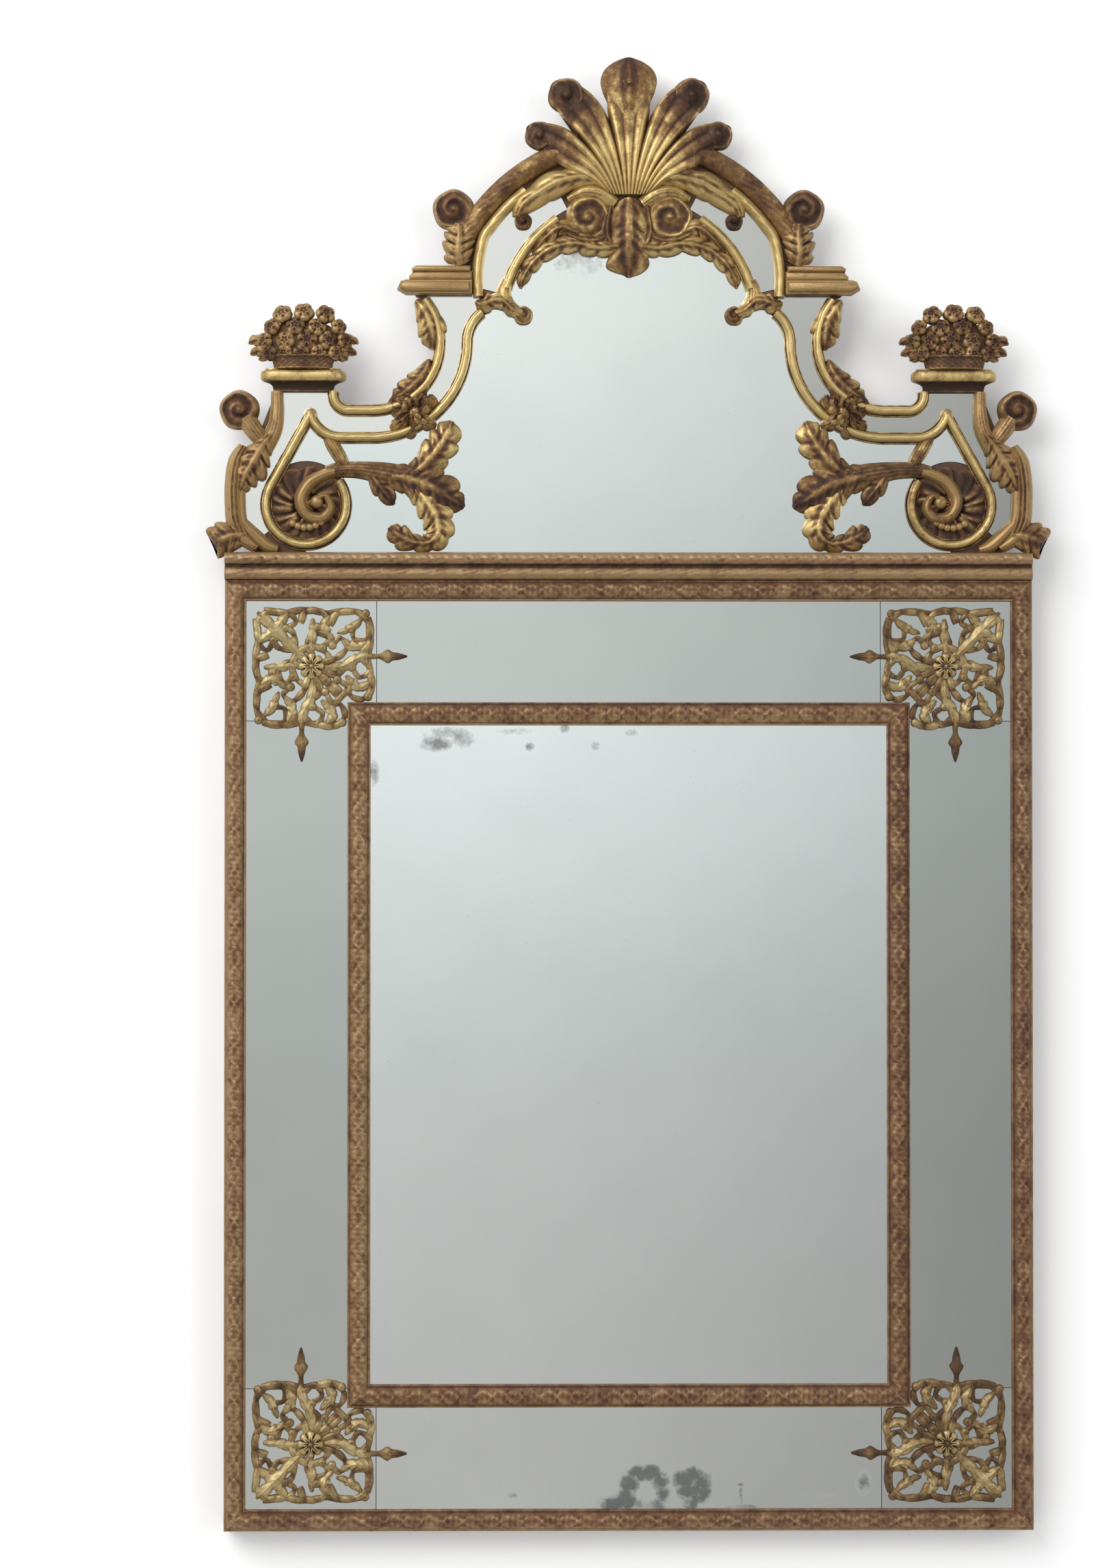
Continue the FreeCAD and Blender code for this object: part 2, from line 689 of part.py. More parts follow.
# arch band: a rounded outer moulding beside a narrow inner one, turned about the arch's centre
band = add("PartDesign::Body", "arch_band_right")
band_sketch = new_sketch(band, "arch_band_section", "XY_Plane")
draw(band_sketch, [(S.arch_outer, -glass_front), (S.arch_inner, -glass_front), (S.arch_inner, -front),
                   (S.arch_parting, -front), (S.arch_outer, -front)],
     {2: (S.arch_crown - S.step_rise) / 2, 3: S.arch_crown - S.step_rise})
spin = band.newObject("PartDesign::Revolution", "arch_band_turn")
spin.Profile = band_sketch
spin.ReferenceAxis = (band_sketch, ["V_Axis"])
spin.Angle = band_end - band_start
spin.Reversed = True
put(band, 0, 0, base + S.arch_rise, Rotation(Vector(0, 1, 0), -band_start))
keep("arch_band_right", band)
mirrored("arch_band_left", band)

# shoulder: the ledge that carries the arch, with a leaf rising from it to a round scroll end
tip = (float(S.ledge_tip), ledge_low + S.ledge_height / 4)
top = (float(S.ledge_top), ledge_high)
ledge_in = float(S.ledge_inner)
ledge_line = [(ledge_in, ledge_low), (tip[0] - 9, ledge_low), tip, top, (ledge_in + 6, ledge_high),
              (ledge_in, ledge_high - 3)]
step_line = [(ledge_in, ledge_low), (tip[0] - 9, ledge_low), tip, (tip[0] - 7, tip[1] + 8),
             (ledge_in, tip[1] + 8)]


def prism(line, reach):
    wire = Part.makePolygon([point(*spot) for spot in line + line[:1]])
    return Part.Face(wire).extrude(Vector(0, -reach, 0))


ledge = prism(ledge_line, float(S.ledge_reach) * 0.7).fuse(prism(step_line, float(S.ledge_reach)))
boss = (206, arch_middle[1] + 135)
shoulder_leaf = leaf_rows([(198, 66, 17, 16), (200, 80, 20, 20), (202, 93, 17, 20), (205, 105, 12, 17),
                           (206, 116, 5, 12)],
                          arch_middle)
doc.recompute()
shoulder = join([ledge, shoulder_leaf, disc(boss, float(S.disc_radius) + 1, float(S.disc_thick))])
both_sides("shoulder", largest(shoulder.cut(band.Shape)))

# inner bead of the arch, ending below in a scroll with a rolled knob and a bracket to the ledge
tail = leaf_rows([(143, 52, 7, 13), (147, 38, 9, 14), (144, 26, 9, 14), (135, 17, 8, 13),
                  (126, 13, 7, 12)], arch_middle)
bracket = leaf_rows([(170, 29, 6, 11), (159, 31, 9, 14), (147, 27, 10, 15), (137, 18, 8, 13),
                     (130, 13, 4, 10)], arch_middle)
knob = disc((124, arch_middle[1] + 11), 11.5, 15.0)
arch_line = bead([arc_on(arch_middle, float(S.arch_bead), arch_low, bead_end)], S.bead_width, S.bead_crown)
arch_bead_shape = largest(join([arch_line, tail, bracket, knob]).cut(inner_bead).cut(ledge))
both_sides("arch_bead", arch_bead_shape)

# pedestal cap
cap = add("PartDesign::Body", "pedestal_cap_right")
cap_sketch = new_sketch(cap, "pedestal_cap_front", "XZ_Plane")
draw(cap_sketch, [(-S.neck_half, 0), (S.neck_half, 0), (S.cap_half, S.cap_height / 2),
                  (S.cap_half, S.cap_height),
                  (-S.cap_half, S.cap_height), (-S.cap_half, S.cap_height / 2)])
pad(cap, cap_sketch, S.cap_reach)
put(cap, pedestal_x, -glass_front, base + S.cap_rise)
keep("pedestal_cap_right", cap)
mirrored("pedestal_cap_left", cap)

# basket of flowers standing on the cap
basket_deep = float(glass_front + S.basket_forward)
middle_x = float(pedestal_x)


def oval(half, deep, up):
    ring = Part.Ellipse(Vector(0, 0, 0), half, deep).toShape()
    ring.translate(Vector(middle_x, -basket_deep, up))
    return Part.Wire(ring)


rim = cap_top + S.basket_height
half, deep = float(S.basket_half), float(S.flower_deep)
bowl = Part.makeLoft([oval(half * 0.72, deep * 0.7, cap_top),
                      oval(half * 0.82, deep * 0.78, cap_top + S.basket_height / 2),
                      oval(half, deep * 0.92, rim)], True, False)
scale = FreeCAD.Matrix()
scale.scale(Vector(S.flower_half - 8, S.flower_deep - 3, S.flower_height - 9))
mound = Part.makeSphere(1).transformGeometry(scale)
mound.translate(Vector(middle_x, -basket_deep, rim - 6))
room = float(S.flower_half) * 2
below = Vector(middle_x - room / 2, -basket_deep - room / 2, rim - room - 3)
mound = mound.cut(Part.makeBox(room, room, room, below))
blooms = []
for level, count, reach in ((0.1, 7, 0.86), (0.4, 6, 0.8), (0.68, 4, 0.62), (0.9, 2, 0.2)):
    for i in range(count):
        share = (2.0 * i / (count - 1) - 1) * reach
        hump = max(0.0, 1 - share ** 2 - level ** 2) ** 0.5
        blooms.append(Part.makeCone(10.5, 7, 5 + deep * (0.35 + 0.6 * hump),
                                    Vector(middle_x + share * S.flower_half, -basket_deep + 4,
                                           rim + level * S.flower_height - 1),
                                    Vector(0, -1, 0)))
both_sides("flower_basket", join([bowl, mound] + blooms))

# console: the outer scroll from the pedestal to the foot, with a rolled end above and a foot leaf
console_rows = {
    "band": [(34, 132, 7, 12), (34, 110, 8, 13), (37, 90, 9, 14), (45, 72, 9, 14), (54, 54, 8, 13)],
    "column": [(71, 68, 8, 14), (79, 50, 12, 17), (83, 24, 12, 18), (83, -2, 12, 18), (81, -20, 12, 17),
               (73, -38, 10, 15),
               (60, -49, 6, 12)],
    "shield": [(40, 82, 7, 15), (51, 67, 16, 20), (60, 51, 21, 22), (70, 34, 15, 21), (77, 16, 4, 17)],
    "stem": [(51, 74, 9, 14), (62, 89, 11, 15), (71, 102, 11, 15)],
    "foot": [(71, -38, 9, 14), (87, -39, 15, 18), (101, -41, 16, 17), (111, -46, 9, 12), (115, -50, 3, 8)],
    "toe": [(74, -26, 5, 13), (59, -41, 6, 14), (35, -49, 5, 10)]}
roll = (ring_middle[0] + 78, ring_middle[1] + 111)
console_parts = [leaf_rows(rows, ring_middle) for rows in console_rows.values()]
console_parts.append(disc(roll, float(S.disc_radius), float(S.disc_thick)))
doc.recompute()
both_sides("console", largest(join(console_parts).cut(rail.Shape).cut(inner_bead).cut(cap.Shape)))

# rosette in the eye of the scroll
petals = []
for i in range(8):
    reach = [on_circle(ring_middle, S.rosette_radius * share, 45 * i + 22.5)
             for share in (0.25, 0.55, 0.8, 1.0)]
    petals.append(leaf(reach, (4, 8, 9, 4), (9, 13, 12, 7)))
both_sides("scroll_rosette", join([disc(ring_middle, S.rosette_radius * 0.45, 15.0)] + petals))

# acanthus spray that grows from the scroll towards the middle of the crest
spray_rows = [
    [(-27, 40, 6, 11), (-39, 42, 7, 12), (-63, 41, 8, 13), (-91, 37, 11, 14), (-117, 32, 12, 14)],
    [(-117, 34, 8, 10), (-136, 42, 13, 14), (-153, 60, 17, 15), (-165, 82, 13, 13), (-170, 98, 2, 6)],
    [(-94, 36, 9, 11), (-121, 31, 19, 15), (-148, 22, 22, 16), (-169, 9, 13, 13), (-184, 0, 2, 6)],
    [(-127, 24, 10, 11), (-143, 4, 15, 14), (-155, -16, 16, 15), (-156, -35, 13, 15), (-146, -45, 9, 13),
     (-133, -46, 8, 12),
     (-119, -42, 11, 15), (-107, -34, 9, 13), (-99, -27, 2, 7)],
    [(-81, 38, 6, 9), (-89, 25, 9, 12), (-98, 12, 7, 10), (-103, 4, 2, 6)],
    [(-48, 43, 5, 10), (-40, 56, 8, 13), (-30, 72, 8, 12), (-22, 84, 4, 9)]]
spray = join([leaf_rows(rows, ring_middle) for rows in spray_rows])
both_sides("acanthus_spray", largest(spray.cut(inner_bead).cut(rail.Shape)))

# cluster of leaves that clasps both mouldings of the sweep
clasp_rows = [
    [(-52, -81, 10, 20), (-64, -76, 13, 20), (-76, -70, 8, 16), (-82, -66, 2, 12)],
    [(-46, -84, 10, 20), (-34, -90, 13, 21), (-23, -97, 9, 17), (-16, -102, 2, 12)],
    [(-48, -81, 9, 20), (-40, -71, 11, 21), (-33, -61, 8, 16), (-29, -55, 2, 11)],
    [(-50, -85, 9, 20), (-55, -96, 11, 20), (-59, -106, 7, 16), (-61, -113, 2, 11)]]
clasp_parts = [leaf_rows(rows, sweep_middle) for rows in clasp_rows]
clasp_parts.append(disc((sweep_middle[0] - 49, sweep_middle[1] - 82), 13.0, 24.0))
both_sides("leaf_clasp", largest(join(clasp_parts).cut(sweep_bead).cut(inner_bead).cut(spray)))

# palmette: five hollowed lobes with rolled ends, spreading from one foot, in shares of its height and relief
shell_foot = float(base + S.shell_rise)
tall = float(S.shell_height)
relief = float(S.shell_relief)
lobe_rows = {
    "center": [(0, 0.018, 0.049, 0.682), (0, 0.305, 0.11, 0.955), (0, 0.598, 0.134, 0.909),
               (0, 0.793, 0.213, 0.773), (0, 0.921, 0.152, 0.636), (0, 0.997, 0.024, 0.364)],
    "upper": [(0.055, 0.018, 0.037, 0.636), (0.201, 0.378, 0.091, 0.909), (0.354, 0.622, 0.122, 0.864),
              (0.47, 0.75, 0.122, 0.727), (0.543, 0.823, 0.037, 0.409)],
    "lower": [(0.11, 0.03, 0.043, 0.591), (0.366, 0.274, 0.104, 0.864), (0.549, 0.384, 0.122, 0.818),
              (0.671, 0.445, 0.104, 0.682), (0.738, 0.47, 0.03, 0.409)]}
knobs = ((0.451, 0.732, 0.094), (0.665, 0.439, 0.076))


def lobe(name, flip=1):
    rows = [(tall * x, tall * z, tall * half, relief * high) for x, z, half, high in lobe_rows[name]]
    return leaf_rows(rows, (0, shell_foot), flip)


lobes = [lobe("center"), disc((0, shell_foot + tall * 0.81), tall * 0.1, relief * 0.95)]
for flip in (-1, 1):
    lobes.append(lobe("upper", flip))
    lobes.append(lobe("lower", flip))
    for x, z, radius in knobs:
        lobes.append(disc((flip * tall * x, shell_foot + tall * z), tall * radius, relief * 0.86))
palmette = keep("palmette", carved("palmette", largest(join(lobes))))

# cartouche: two volutes, a hanging leaf between them and a leafy apron to each side
volute = float(S.volute_radius)
fall_rows = [(0.03, 18, 15), (0.22, 24, 19), (0.43, 26, 19), (0.61, 24, 18), (0.73, 27, 17),
             (0.86, 16, 14), (1, 2, 7)]
apron_rows = [(12, -60, 9, 15), (36, -62, 11, 16), (64, -57, 11, 15), (92, -63, 11, 14), (112, -78, 10, 12),
              (124, -96, 7, 10), (127, -108, 2, 7)]
spandrel_rows = [(60, -44, 8, 12), (80, -38, 11, 14), (96, -48, 9, 13), (112, -66, 3, 9)]
pieces = [leaf_rows([(0, -S.pendant_drop * z, half, high) for z, half, high in fall_rows], (0, shell_foot))]
for flip in (-1, 1):
    pieces.append(disc((flip * (volute + 21), shell_foot - volute + 1), volute, 20.0))
    pieces.append(leaf_rows(apron_rows, (0, shell_foot), flip))
    pieces.append(leaf_rows(spandrel_rows, (0, shell_foot), flip))
left_bead = arch_bead_shape.mirror(Vector(), Vector(1, 0, 0))
cartouche = largest(join(pieces).cut(palmette.Shape).cut(arch_bead_shape).cut(left_bead))
keep("cartouche", carved("cartouche", cartouche))

# leaf along the top of the arch, between the band and the palmette
arch_mid = float(S.arch_inner + S.arch_outer) / 2
tops = [on_circle(arch_middle, arch_mid + lift, band_end + turn)
        for turn, lift in ((0.6, 0), (6, -1), (12, 0), (17, 2))]
crown_leaf = leaf_rows([(26, 167, 6, 14), (52, 173, 12, 18), (82, 167, 16, 20), (106, 153, 15, 19),
                        (122, 137, 11, 16),
                        (132, 121, 2, 9)], arch_middle)
arch_leaf = join([leaf(tops, (18, 18, 17, 12), (13, 16, 16, 11)), crown_leaf])
both_sides("arch_leaf", largest(arch_leaf.cut(band.Shape).cut(palmette.Shape).cut(cartouche)))

# pierced corner ornament on the border plates, drawn from the sight corner inwards
sight_x = float(half_width - S.outer_face)
sight_z = float(base - S.outer_face)
low, span = float(S.fret_inset), float(S.fret_span)


def spot(u, v):
    return (sight_x - low - u * span, sight_z - low - v * span)


def strap(spots, shape="arc"):
    ends = [point(*spot(*s)) for s in spots]
    path = [Part.Arc(*ends).toShape()] if shape == "arc" else [Part.makeLine(*ends)]
    return bead(path, S.fret_strap, S.fret_rise)


ring_spots = [((0.22, 0.03), (0.74, 0.03)), ((0.74, 0.03), (0.93, 0.09), (0.97, 0.26)),
              ((0.97, 0.26), (0.97, 0.5)),
              ((0.97, 0.5), (0.95, 0.68), (0.75, 0.73)), ((0.75, 0.73), (0.73, 0.75)),
              ((0.73, 0.75), (0.68, 0.95), (0.5, 0.97)), ((0.5, 0.97), (0.26, 0.97)),
              ((0.26, 0.97), (0.09, 0.93), (0.03, 0.74)), ((0.03, 0.74), (0.03, 0.22)),
              ((0.03, 0.22), (0.08, 0.08), (0.22, 0.03))]
scrolls = [((0.46, 0.4), (0.6, 0.22), (0.45, 0.04)), ((0.46, 0.4), (0.3, 0.22), (0.2, 0.05)),
           ((0.4, 0.46), (0.22, 0.6), (0.04, 0.45)), ((0.4, 0.46), (0.22, 0.3), (0.05, 0.2)),
           ((0.56, 0.44), (0.74, 0.3), (0.96, 0.42)), ((0.56, 0.48), (0.72, 0.62), (0.95, 0.6)),
           ((0.44, 0.56), (0.3, 0.74), (0.42, 0.96)), ((0.48, 0.56), (0.62, 0.72), (0.6, 0.95))]
straps = [strap(s, "arc" if len(s) == 3 else "line") for s in ring_spots + scrolls]
middle = spot(0.48, 0.48)
finial = float(S.finial_length)
side_tip, foot_tip = spot(0.99, 0.4), spot(0.4, 0.99)
straps.append(disc(middle, float(S.fret_boss), S.fret_rise + 4))
straps.append(leaf([(side_tip[0] - finial * share, side_tip[1]) for share in (0, 0.25, 0.5, 1)],
                   (4, 5, 8, 1.5), (5, 6, 6, 3)))
straps.append(leaf([(foot_tip[0], foot_tip[1] - finial * share) for share in (0, 0.25, 0.5, 1)],
                   (4, 5, 8, 1.5), (5, 6, 6, 3)))
for u, v in ((0.09, 0.09), (0.93, 0.1), (0.1, 0.93)):
    straps.append(disc(spot(u, v), 8.0, S.fret_rise + 2))
fret = keep("corner_fret_top_right", carved("corner_fret_top_right", join(straps)))
fret_left = mirrored("corner_fret_top_left", fret)
for side, source in (("right", fret), ("left", fret_left)):
    image = add("Part::Mirroring", "corner_fret_bottom_" + side)
    image.Source = source
    image.Normal = Vector(0, 0, 1)
    bind(image, "Base.z", base / 2)
    keep("corner_fret_bottom_" + side, image)

# wood screws, driven from behind through the struts
hanger_z = base - S.hanger_below
screw_spots = []
for side in (-1, 1):
    across = side * float(S.strut_across)
    for up in (70, S.strut_above - 40, -60, 30 - S.strut_below):
        screw_spots.append((across, float(strut_back), float(base + up)))
    for below in (16, 40):
        screw_spots.append((across, float(strut_back - S.hanger_plate_thick), float(hanger_z - below)))


def screw(at, play):
    head, shank = S.screw_head / 2 + play, S.screw_shank / 2 + play
    sink = (S.screw_head - S.screw_shank) / 2
    start = Vector(at[0], -at[1], at[2])
    cone = Part.makeCone(head, shank, sink, start, Vector(0, -1, 0))
    rod = Part.makeCylinder(shank, S.screw_length + play, start, Vector(0, -1, 0))
    return cone.fuse(rod).removeSplitter()


keep("wood_screws", carved("wood_screws", Part.makeCompound([screw(at, 0) for at in screw_spots])))
screw_holes = carved("screw_holes", Part.makeCompound([screw(at, float(S.screw_play))
                                                       for at in screw_spots]))


def drilled(label, base_part):
    # a wooden or iron piece with the screw holes taken out of it
    cut = add("Part::Cut", label)
    cut.Base = base_part
    cut.Tool = screw_holes
    return keep(label, cut)


drilled("crest_board", carved("crest_board_blank", board_shape))

# back boards, side by side behind the plates
board_x = half_width - S.outer_wall - S.board_gap
board_low = S.outer_wall + S.board_gap
board_top = base - S.outer_wall - S.board_gap
third = board_x * 2 / 3
for name, start in (("left", -board_x), ("center", third - board_x), ("right", 2 * third - board_x)):
    blank = slab("back_board_%s_blank" % name, start + S.board_gap / 2, start + third - S.board_gap / 2,
                 board_back,
                 S.board_thick, board_low, board_top)
    nodes.pop("back_board_%s_blank" % name)
    drilled("back_board_" + name, blank)

# struts that tie the crest to the frame, let into the top rail
for name, side in (("left", -1), ("right", 1)):
    middle_at = side * S.strut_across
    blank = slab("crest_strut_%s_blank" % name, middle_at - S.strut_width / 2,
                 middle_at + S.strut_width / 2, strut_back,
                 S.strut_thick, base - S.strut_below, base + S.strut_above)
    nodes.pop("crest_strut_%s_blank" % name)
    drilled("crest_strut_" + name, blank)

# iron hangers: a strap with a rolled knuckle, and a ring that swings in it
pin_deep = strut_back - S.knuckle_radius
for name, side in (("left", -1), ("right", 1)):
    across = side * S.strut_across
    strap_box = slab("hanger_strap_" + name, across - S.hanger_plate_width / 2,
                     across + S.hanger_plate_width / 2,
                     strut_back - S.hanger_plate_thick, S.hanger_plate_thick,
                     hanger_z - S.hanger_plate_length, hanger_z)
    nodes.pop("hanger_strap_" + name)
    rolls = []
    for part, radius, length in (("knuckle", S.knuckle_radius, S.knuckle_length),
                                 ("bore", S.ring_wire / 2 + S.ring_play, S.knuckle_length + 2)):
        tube = add("Part::Cylinder", "hanger_%s_%s" % (part, name))
        bind(tube, "Radius", radius)
        bind(tube, "Height", length)
        put(tube, across - length / 2, -pin_deep, hanger_z, Rotation(Vector(0, 1, 0), 90))
        rolls.append(tube)
    solid = add("Part::Fuse", "hanger_solid_" + name)
    solid.Base = strap_box
    solid.Tool = rolls[0]
    open_knuckle = add("Part::Cut", "hanger_open_" + name)
    open_knuckle.Base = solid
    open_knuckle.Tool = rolls[1]
    drilled("hanger_plate_" + name, open_knuckle)
    wide, bend, fall_to = float(S.ring_half), float(S.ring_bend), float(S.ring_drop)
    x, z = float(across), float(hanger_z)
    turn_z = z - fall_to + wide

    def wire_at(dx, dz):
        return Vector(x + dx, -float(pin_deep), dz)

    corner = bend * (1 - math.sqrt(0.5))
    loop = [Part.makeLine(wire_at(bend - wide, z), wire_at(wide - bend, z)),
            Part.Arc(wire_at(wide - bend, z), wire_at(wide - corner, z - corner),
                     wire_at(wide, z - bend)).toShape(),
            Part.makeLine(wire_at(wide, z - bend), wire_at(wide, turn_z)),
            Part.Arc(wire_at(wide, turn_z), wire_at(0, z - fall_to), wire_at(-wide, turn_z)).toShape(),
            Part.makeLine(wire_at(-wide, turn_z), wire_at(-wide, z - bend)),
            Part.Arc(wire_at(-wide, z - bend), wire_at(corner - wide, z - corner),
                     wire_at(bend - wide, z)).toShape()]
    section = Part.Face(Part.Wire(Part.makeCircle(S.ring_wire / 2, wire_at(bend - wide, z),
                                                  Vector(1, 0, 0))))
    keep("hanger_ring_" + name, carved("hanger_ring_" + name, Part.Wire(loop).makePipe(section)))

# blocks glued behind the boards against the frame
blocks = []
reach_x, reach_z = float(half_width - S.outer_wall), float(base - S.outer_wall)
side, long = float(S.block_side), float(S.block_length)
deep_at = -float(board_back)
for up in (0.2, 0.5, 0.8):
    for low_x in (-reach_x, reach_x - side):
        blocks.append(Part.makeBox(side, side, long, Vector(low_x, deep_at, float(base) * up - long / 2)))
for across in (-0.3, 0.0, 0.3):
    low_at = Vector(float(S.frame_width) * across - long / 2, deep_at, float(S.outer_wall))
    blocks.append(Part.makeBox(long, side, side, low_at))
    if abs(across) < 0.1:
        blocks.append(Part.makeBox(long, side, side, Vector(-long / 2, deep_at, reach_z - side)))
keep("retaining_blocks", carved("retaining_blocks", Part.makeCompound(blocks)))

# pieces that are alike share one node
def gather(label, names):
    group = add("Part::Compound", label)
    group.Links = [nodes.pop(name) for name in names]
    keep(label, group)


gather("corner_glasses", ["corner_glass_" + corner
                          for corner in ("top_left", "top_right", "bottom_left", "bottom_right")])
gather("back_boards", ["back_board_" + place for place in ("left", "center", "right")])
gather("crest_struts", ["crest_strut_left", "crest_strut_right"])
gather("hanger_plates", ["hanger_plate_left", "hanger_plate_right"])

doc.recompute()
for thing in doc.Objects:
    if "Invalid" in thing.State or "Error" in thing.State:
        raise RuntimeError("%s did not build" % thing.Label)
os.makedirs("parts", exist_ok=True)
for label, thing in nodes.items():
    if thing.Shape.isNull() or not thing.Shape.isValid() or not thing.Shape.Solids:
        raise RuntimeError("%s is not a sound solid" % label)
    thing.Shape.exportStep("parts/%s.step" % label)
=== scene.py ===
import bpy
import bmesh
import math
import numpy as np
from mathutils import Matrix, Vector


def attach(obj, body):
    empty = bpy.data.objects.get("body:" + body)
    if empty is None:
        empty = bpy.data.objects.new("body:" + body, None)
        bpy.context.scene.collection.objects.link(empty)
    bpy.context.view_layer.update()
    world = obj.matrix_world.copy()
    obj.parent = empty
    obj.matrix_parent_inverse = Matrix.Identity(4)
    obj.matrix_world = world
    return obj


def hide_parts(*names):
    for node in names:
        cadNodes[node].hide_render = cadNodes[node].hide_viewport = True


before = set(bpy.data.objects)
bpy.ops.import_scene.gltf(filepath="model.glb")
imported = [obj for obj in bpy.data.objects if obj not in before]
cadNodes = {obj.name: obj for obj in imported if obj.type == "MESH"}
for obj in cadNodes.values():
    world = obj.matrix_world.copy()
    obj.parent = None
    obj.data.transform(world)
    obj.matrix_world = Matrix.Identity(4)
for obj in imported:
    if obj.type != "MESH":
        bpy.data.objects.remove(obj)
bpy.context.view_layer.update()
print("frame loaded:", len(cadNodes), "nodes")

# Sizes are in mm: x across, z up, and d the distance in front of the wall.
plateFront = 36.0      # front of all the mirror plates
crestFoot = 1114.0     # where the crest stands on the lower frame
archMiddle = (0.0, 1414.0)
sweepMiddle = (302.0, 1393.0)
ringMiddle = (379.0, 1202.0)
lineStep = 1.6         # between the points of a drawn line


# finishes
def feed(tree, socket, value):
    # links an output, or sets a constant on the socket itself
    if isinstance(value, bpy.types.NodeSocket):
        tree.links.new(value, socket)
    else:
        socket.default_value = value


def put(tree, kind, values=None, **settings):
    made = tree.nodes.new("ShaderNode" + kind)
    for name, value in settings.items():
        setattr(made, name, value)
    for key, value in (values or {}).items():
        feed(tree, made.inputs[key], value)
    return made


def calc(tree, operation, *values):
    return put(tree, "Math", dict(enumerate(values)), operation=operation).outputs[0]


def spread(tree, value, low, high, start=0.0, end=1.0):
    # carries low to start and high to end
    ends = {"From Min": low, "From Max": high, "To Min": start, "To Max": end}
    return put(tree, "MapRange", {"Value": value, **ends}).outputs[0]


def apart(tree, vector):
    return put(tree, "SeparateXYZ", {"Vector": vector}).outputs


def grey(value):
    return (value, value, value)


def opaque(colour):
    return colour if isinstance(colour, bpy.types.NodeSocket) else (*colour, 1.0)


def ramp(tree, fac, stops):
    made = put(tree, "ValToRGB", {"Fac": fac})
    band = made.color_ramp.elements
    while len(band) < len(stops):
        band.new(0.5)
    for element, (place, colour) in zip(band, stops):
        element.position = place
        element.color = opaque(colour)
    return made.outputs["Color"]


def fade(tree, fac, start, end):
    # greys between two rows of place and value
    return ramp(tree, fac, [(place, grey(value)) for place, value in (start, end)])


def blend(tree, fac, first, second):
    values = {0: fac, 6: opaque(first), 7: opaque(second)}  # a Mix node's colours are sockets 6 and 7
    return put(tree, "Mix", values, data_type="RGBA").outputs[2]


def noise(tree, place, scale, detail, rough):
    values = {"Vector": place, "Scale": scale, "Detail": detail, "Roughness": rough}
    return put(tree, "TexNoise", values).outputs["Fac"]


def bumped(tree, height, strength, distance):
    values = {"Strength": strength, "Distance": distance, "Height": height}
    return put(tree, "Bump", values).outputs["Normal"]


def newFinish(name):
    made = bpy.data.materials.new(name)
    made.use_nodes = True
    return made, made.node_tree, put(made.node_tree, "TexCoord").outputs["Object"]


def dress(tree, looks):
    shader = tree.nodes["Principled BSDF"]
    for name, value in looks.items():
        feed(tree, shader.inputs[name], value)


def cover(nodeName, finish):
    slots = cadNodes[nodeName].data.materials
    slots.clear()
    slots.append(finish)


# colours of the gilding from the ridges down to the deepest hollows: the first is rubbed gold with a painted
# highlight, the last is soil darkened by painted shade
giltLooks = {
    "giltCrest": {"high": (0.64, 0.475, 0.20), "leaf": (0.29, 0.175, 0.070), "worn": (0.17, 0.092, 0.039),
                  "bole": (0.085, 0.039, 0.021), "soil": (0.026, 0.014, 0.009), "metal": 0.6},
    "giltDark": {"high": (0.40, 0.26, 0.11), "leaf": (0.175, 0.094, 0.041), "worn": (0.110, 0.055, 0.028),
                 "bole": (0.064, 0.029, 0.017), "soil": (0.020, 0.011, 0.007), "metal": 0.45},
    "giltFrame": {"high": (0.36, 0.235, 0.122), "leaf": (0.215, 0.120, 0.060), "worn": (0.145, 0.073, 0.038),
                  "bole": (0.085, 0.040, 0.023), "soil": (0.028, 0.015, 0.010), "metal": 0.42},
    "giltFret": {"high": (0.53, 0.42, 0.21), "leaf": (0.34, 0.24, 0.11), "worn": (0.21, 0.132, 0.055),
                 "bole": (0.11, 0.058, 0.026), "soil": (0.036, 0.021, 0.012), "metal": 0.5},
}


def giltFinish(name, look):
    # gold leaf over red bole, rubbed to the bole in patches: painted highlight on the ridges, painted shade
    # with dark soil in the hollows and along the foot of the carving
    made, tree, place = newFinish(name)
    # painted shade with soil in the hollows and painted highlight on the ridges, worked out for each point
    shadeAndSoil = put(tree, "Attribute", attribute_name="shadeAndSoil").outputs["Fac"]
    broad = noise(tree, place, scale=46.0, detail=5.0, rough=0.62)
    patch = noise(tree, place, scale=170.0, detail=6.0, rough=0.66)
    fine = noise(tree, place, scale=900.0, detail=3.0, rough=0.6)
    drift = calc(tree, "MULTIPLY_ADD", broad, 0.75, shadeAndSoil)
    drift = calc(tree, "MULTIPLY_ADD", patch, 0.50, drift)
    drift = calc(tree, "SUBTRACT", drift, 0.625)  # what the two noises add on average
    stops = zip((0.24, 0.44, 0.55, 0.66, 0.84), ("high", "leaf", "worn", "bole", "soil"))
    colour = ramp(tree, drift, [(at, look[part]) for at, part in stops])
    speck = fade(tree, fine, (0.28, 0.4), (0.60, 0.0))
    colour = blend(tree, speck, colour, look["bole"])
    turned = apart(tree, put(tree, "NewGeometry").outputs["True Normal"])["Y"]
    behind = fade(tree, turned, (0.80, 0.0), (0.92, 1.0))
    bare = ramp(tree, broad, [(0.35, (0.17, 0.10, 0.05)), (0.65, (0.08, 0.045, 0.024))])
    dress(tree, {
        "Base Color": blend(tree, behind, colour, bare),  # no leaf on the back
        "Metallic": fade(tree, drift, (0.46, look["metal"]), (0.66, 0.05)),
        "Roughness": fade(tree, drift, (0.25, 0.36), (0.64, 0.66)),
        "Specular IOR Level": 0.25,
        "Normal": bumped(tree, calc(tree, "ADD", fine, patch), strength=0.4, distance=0.0007)})
    return made


gilt = {name: giltFinish(name, look) for name, look in giltLooks.items()}
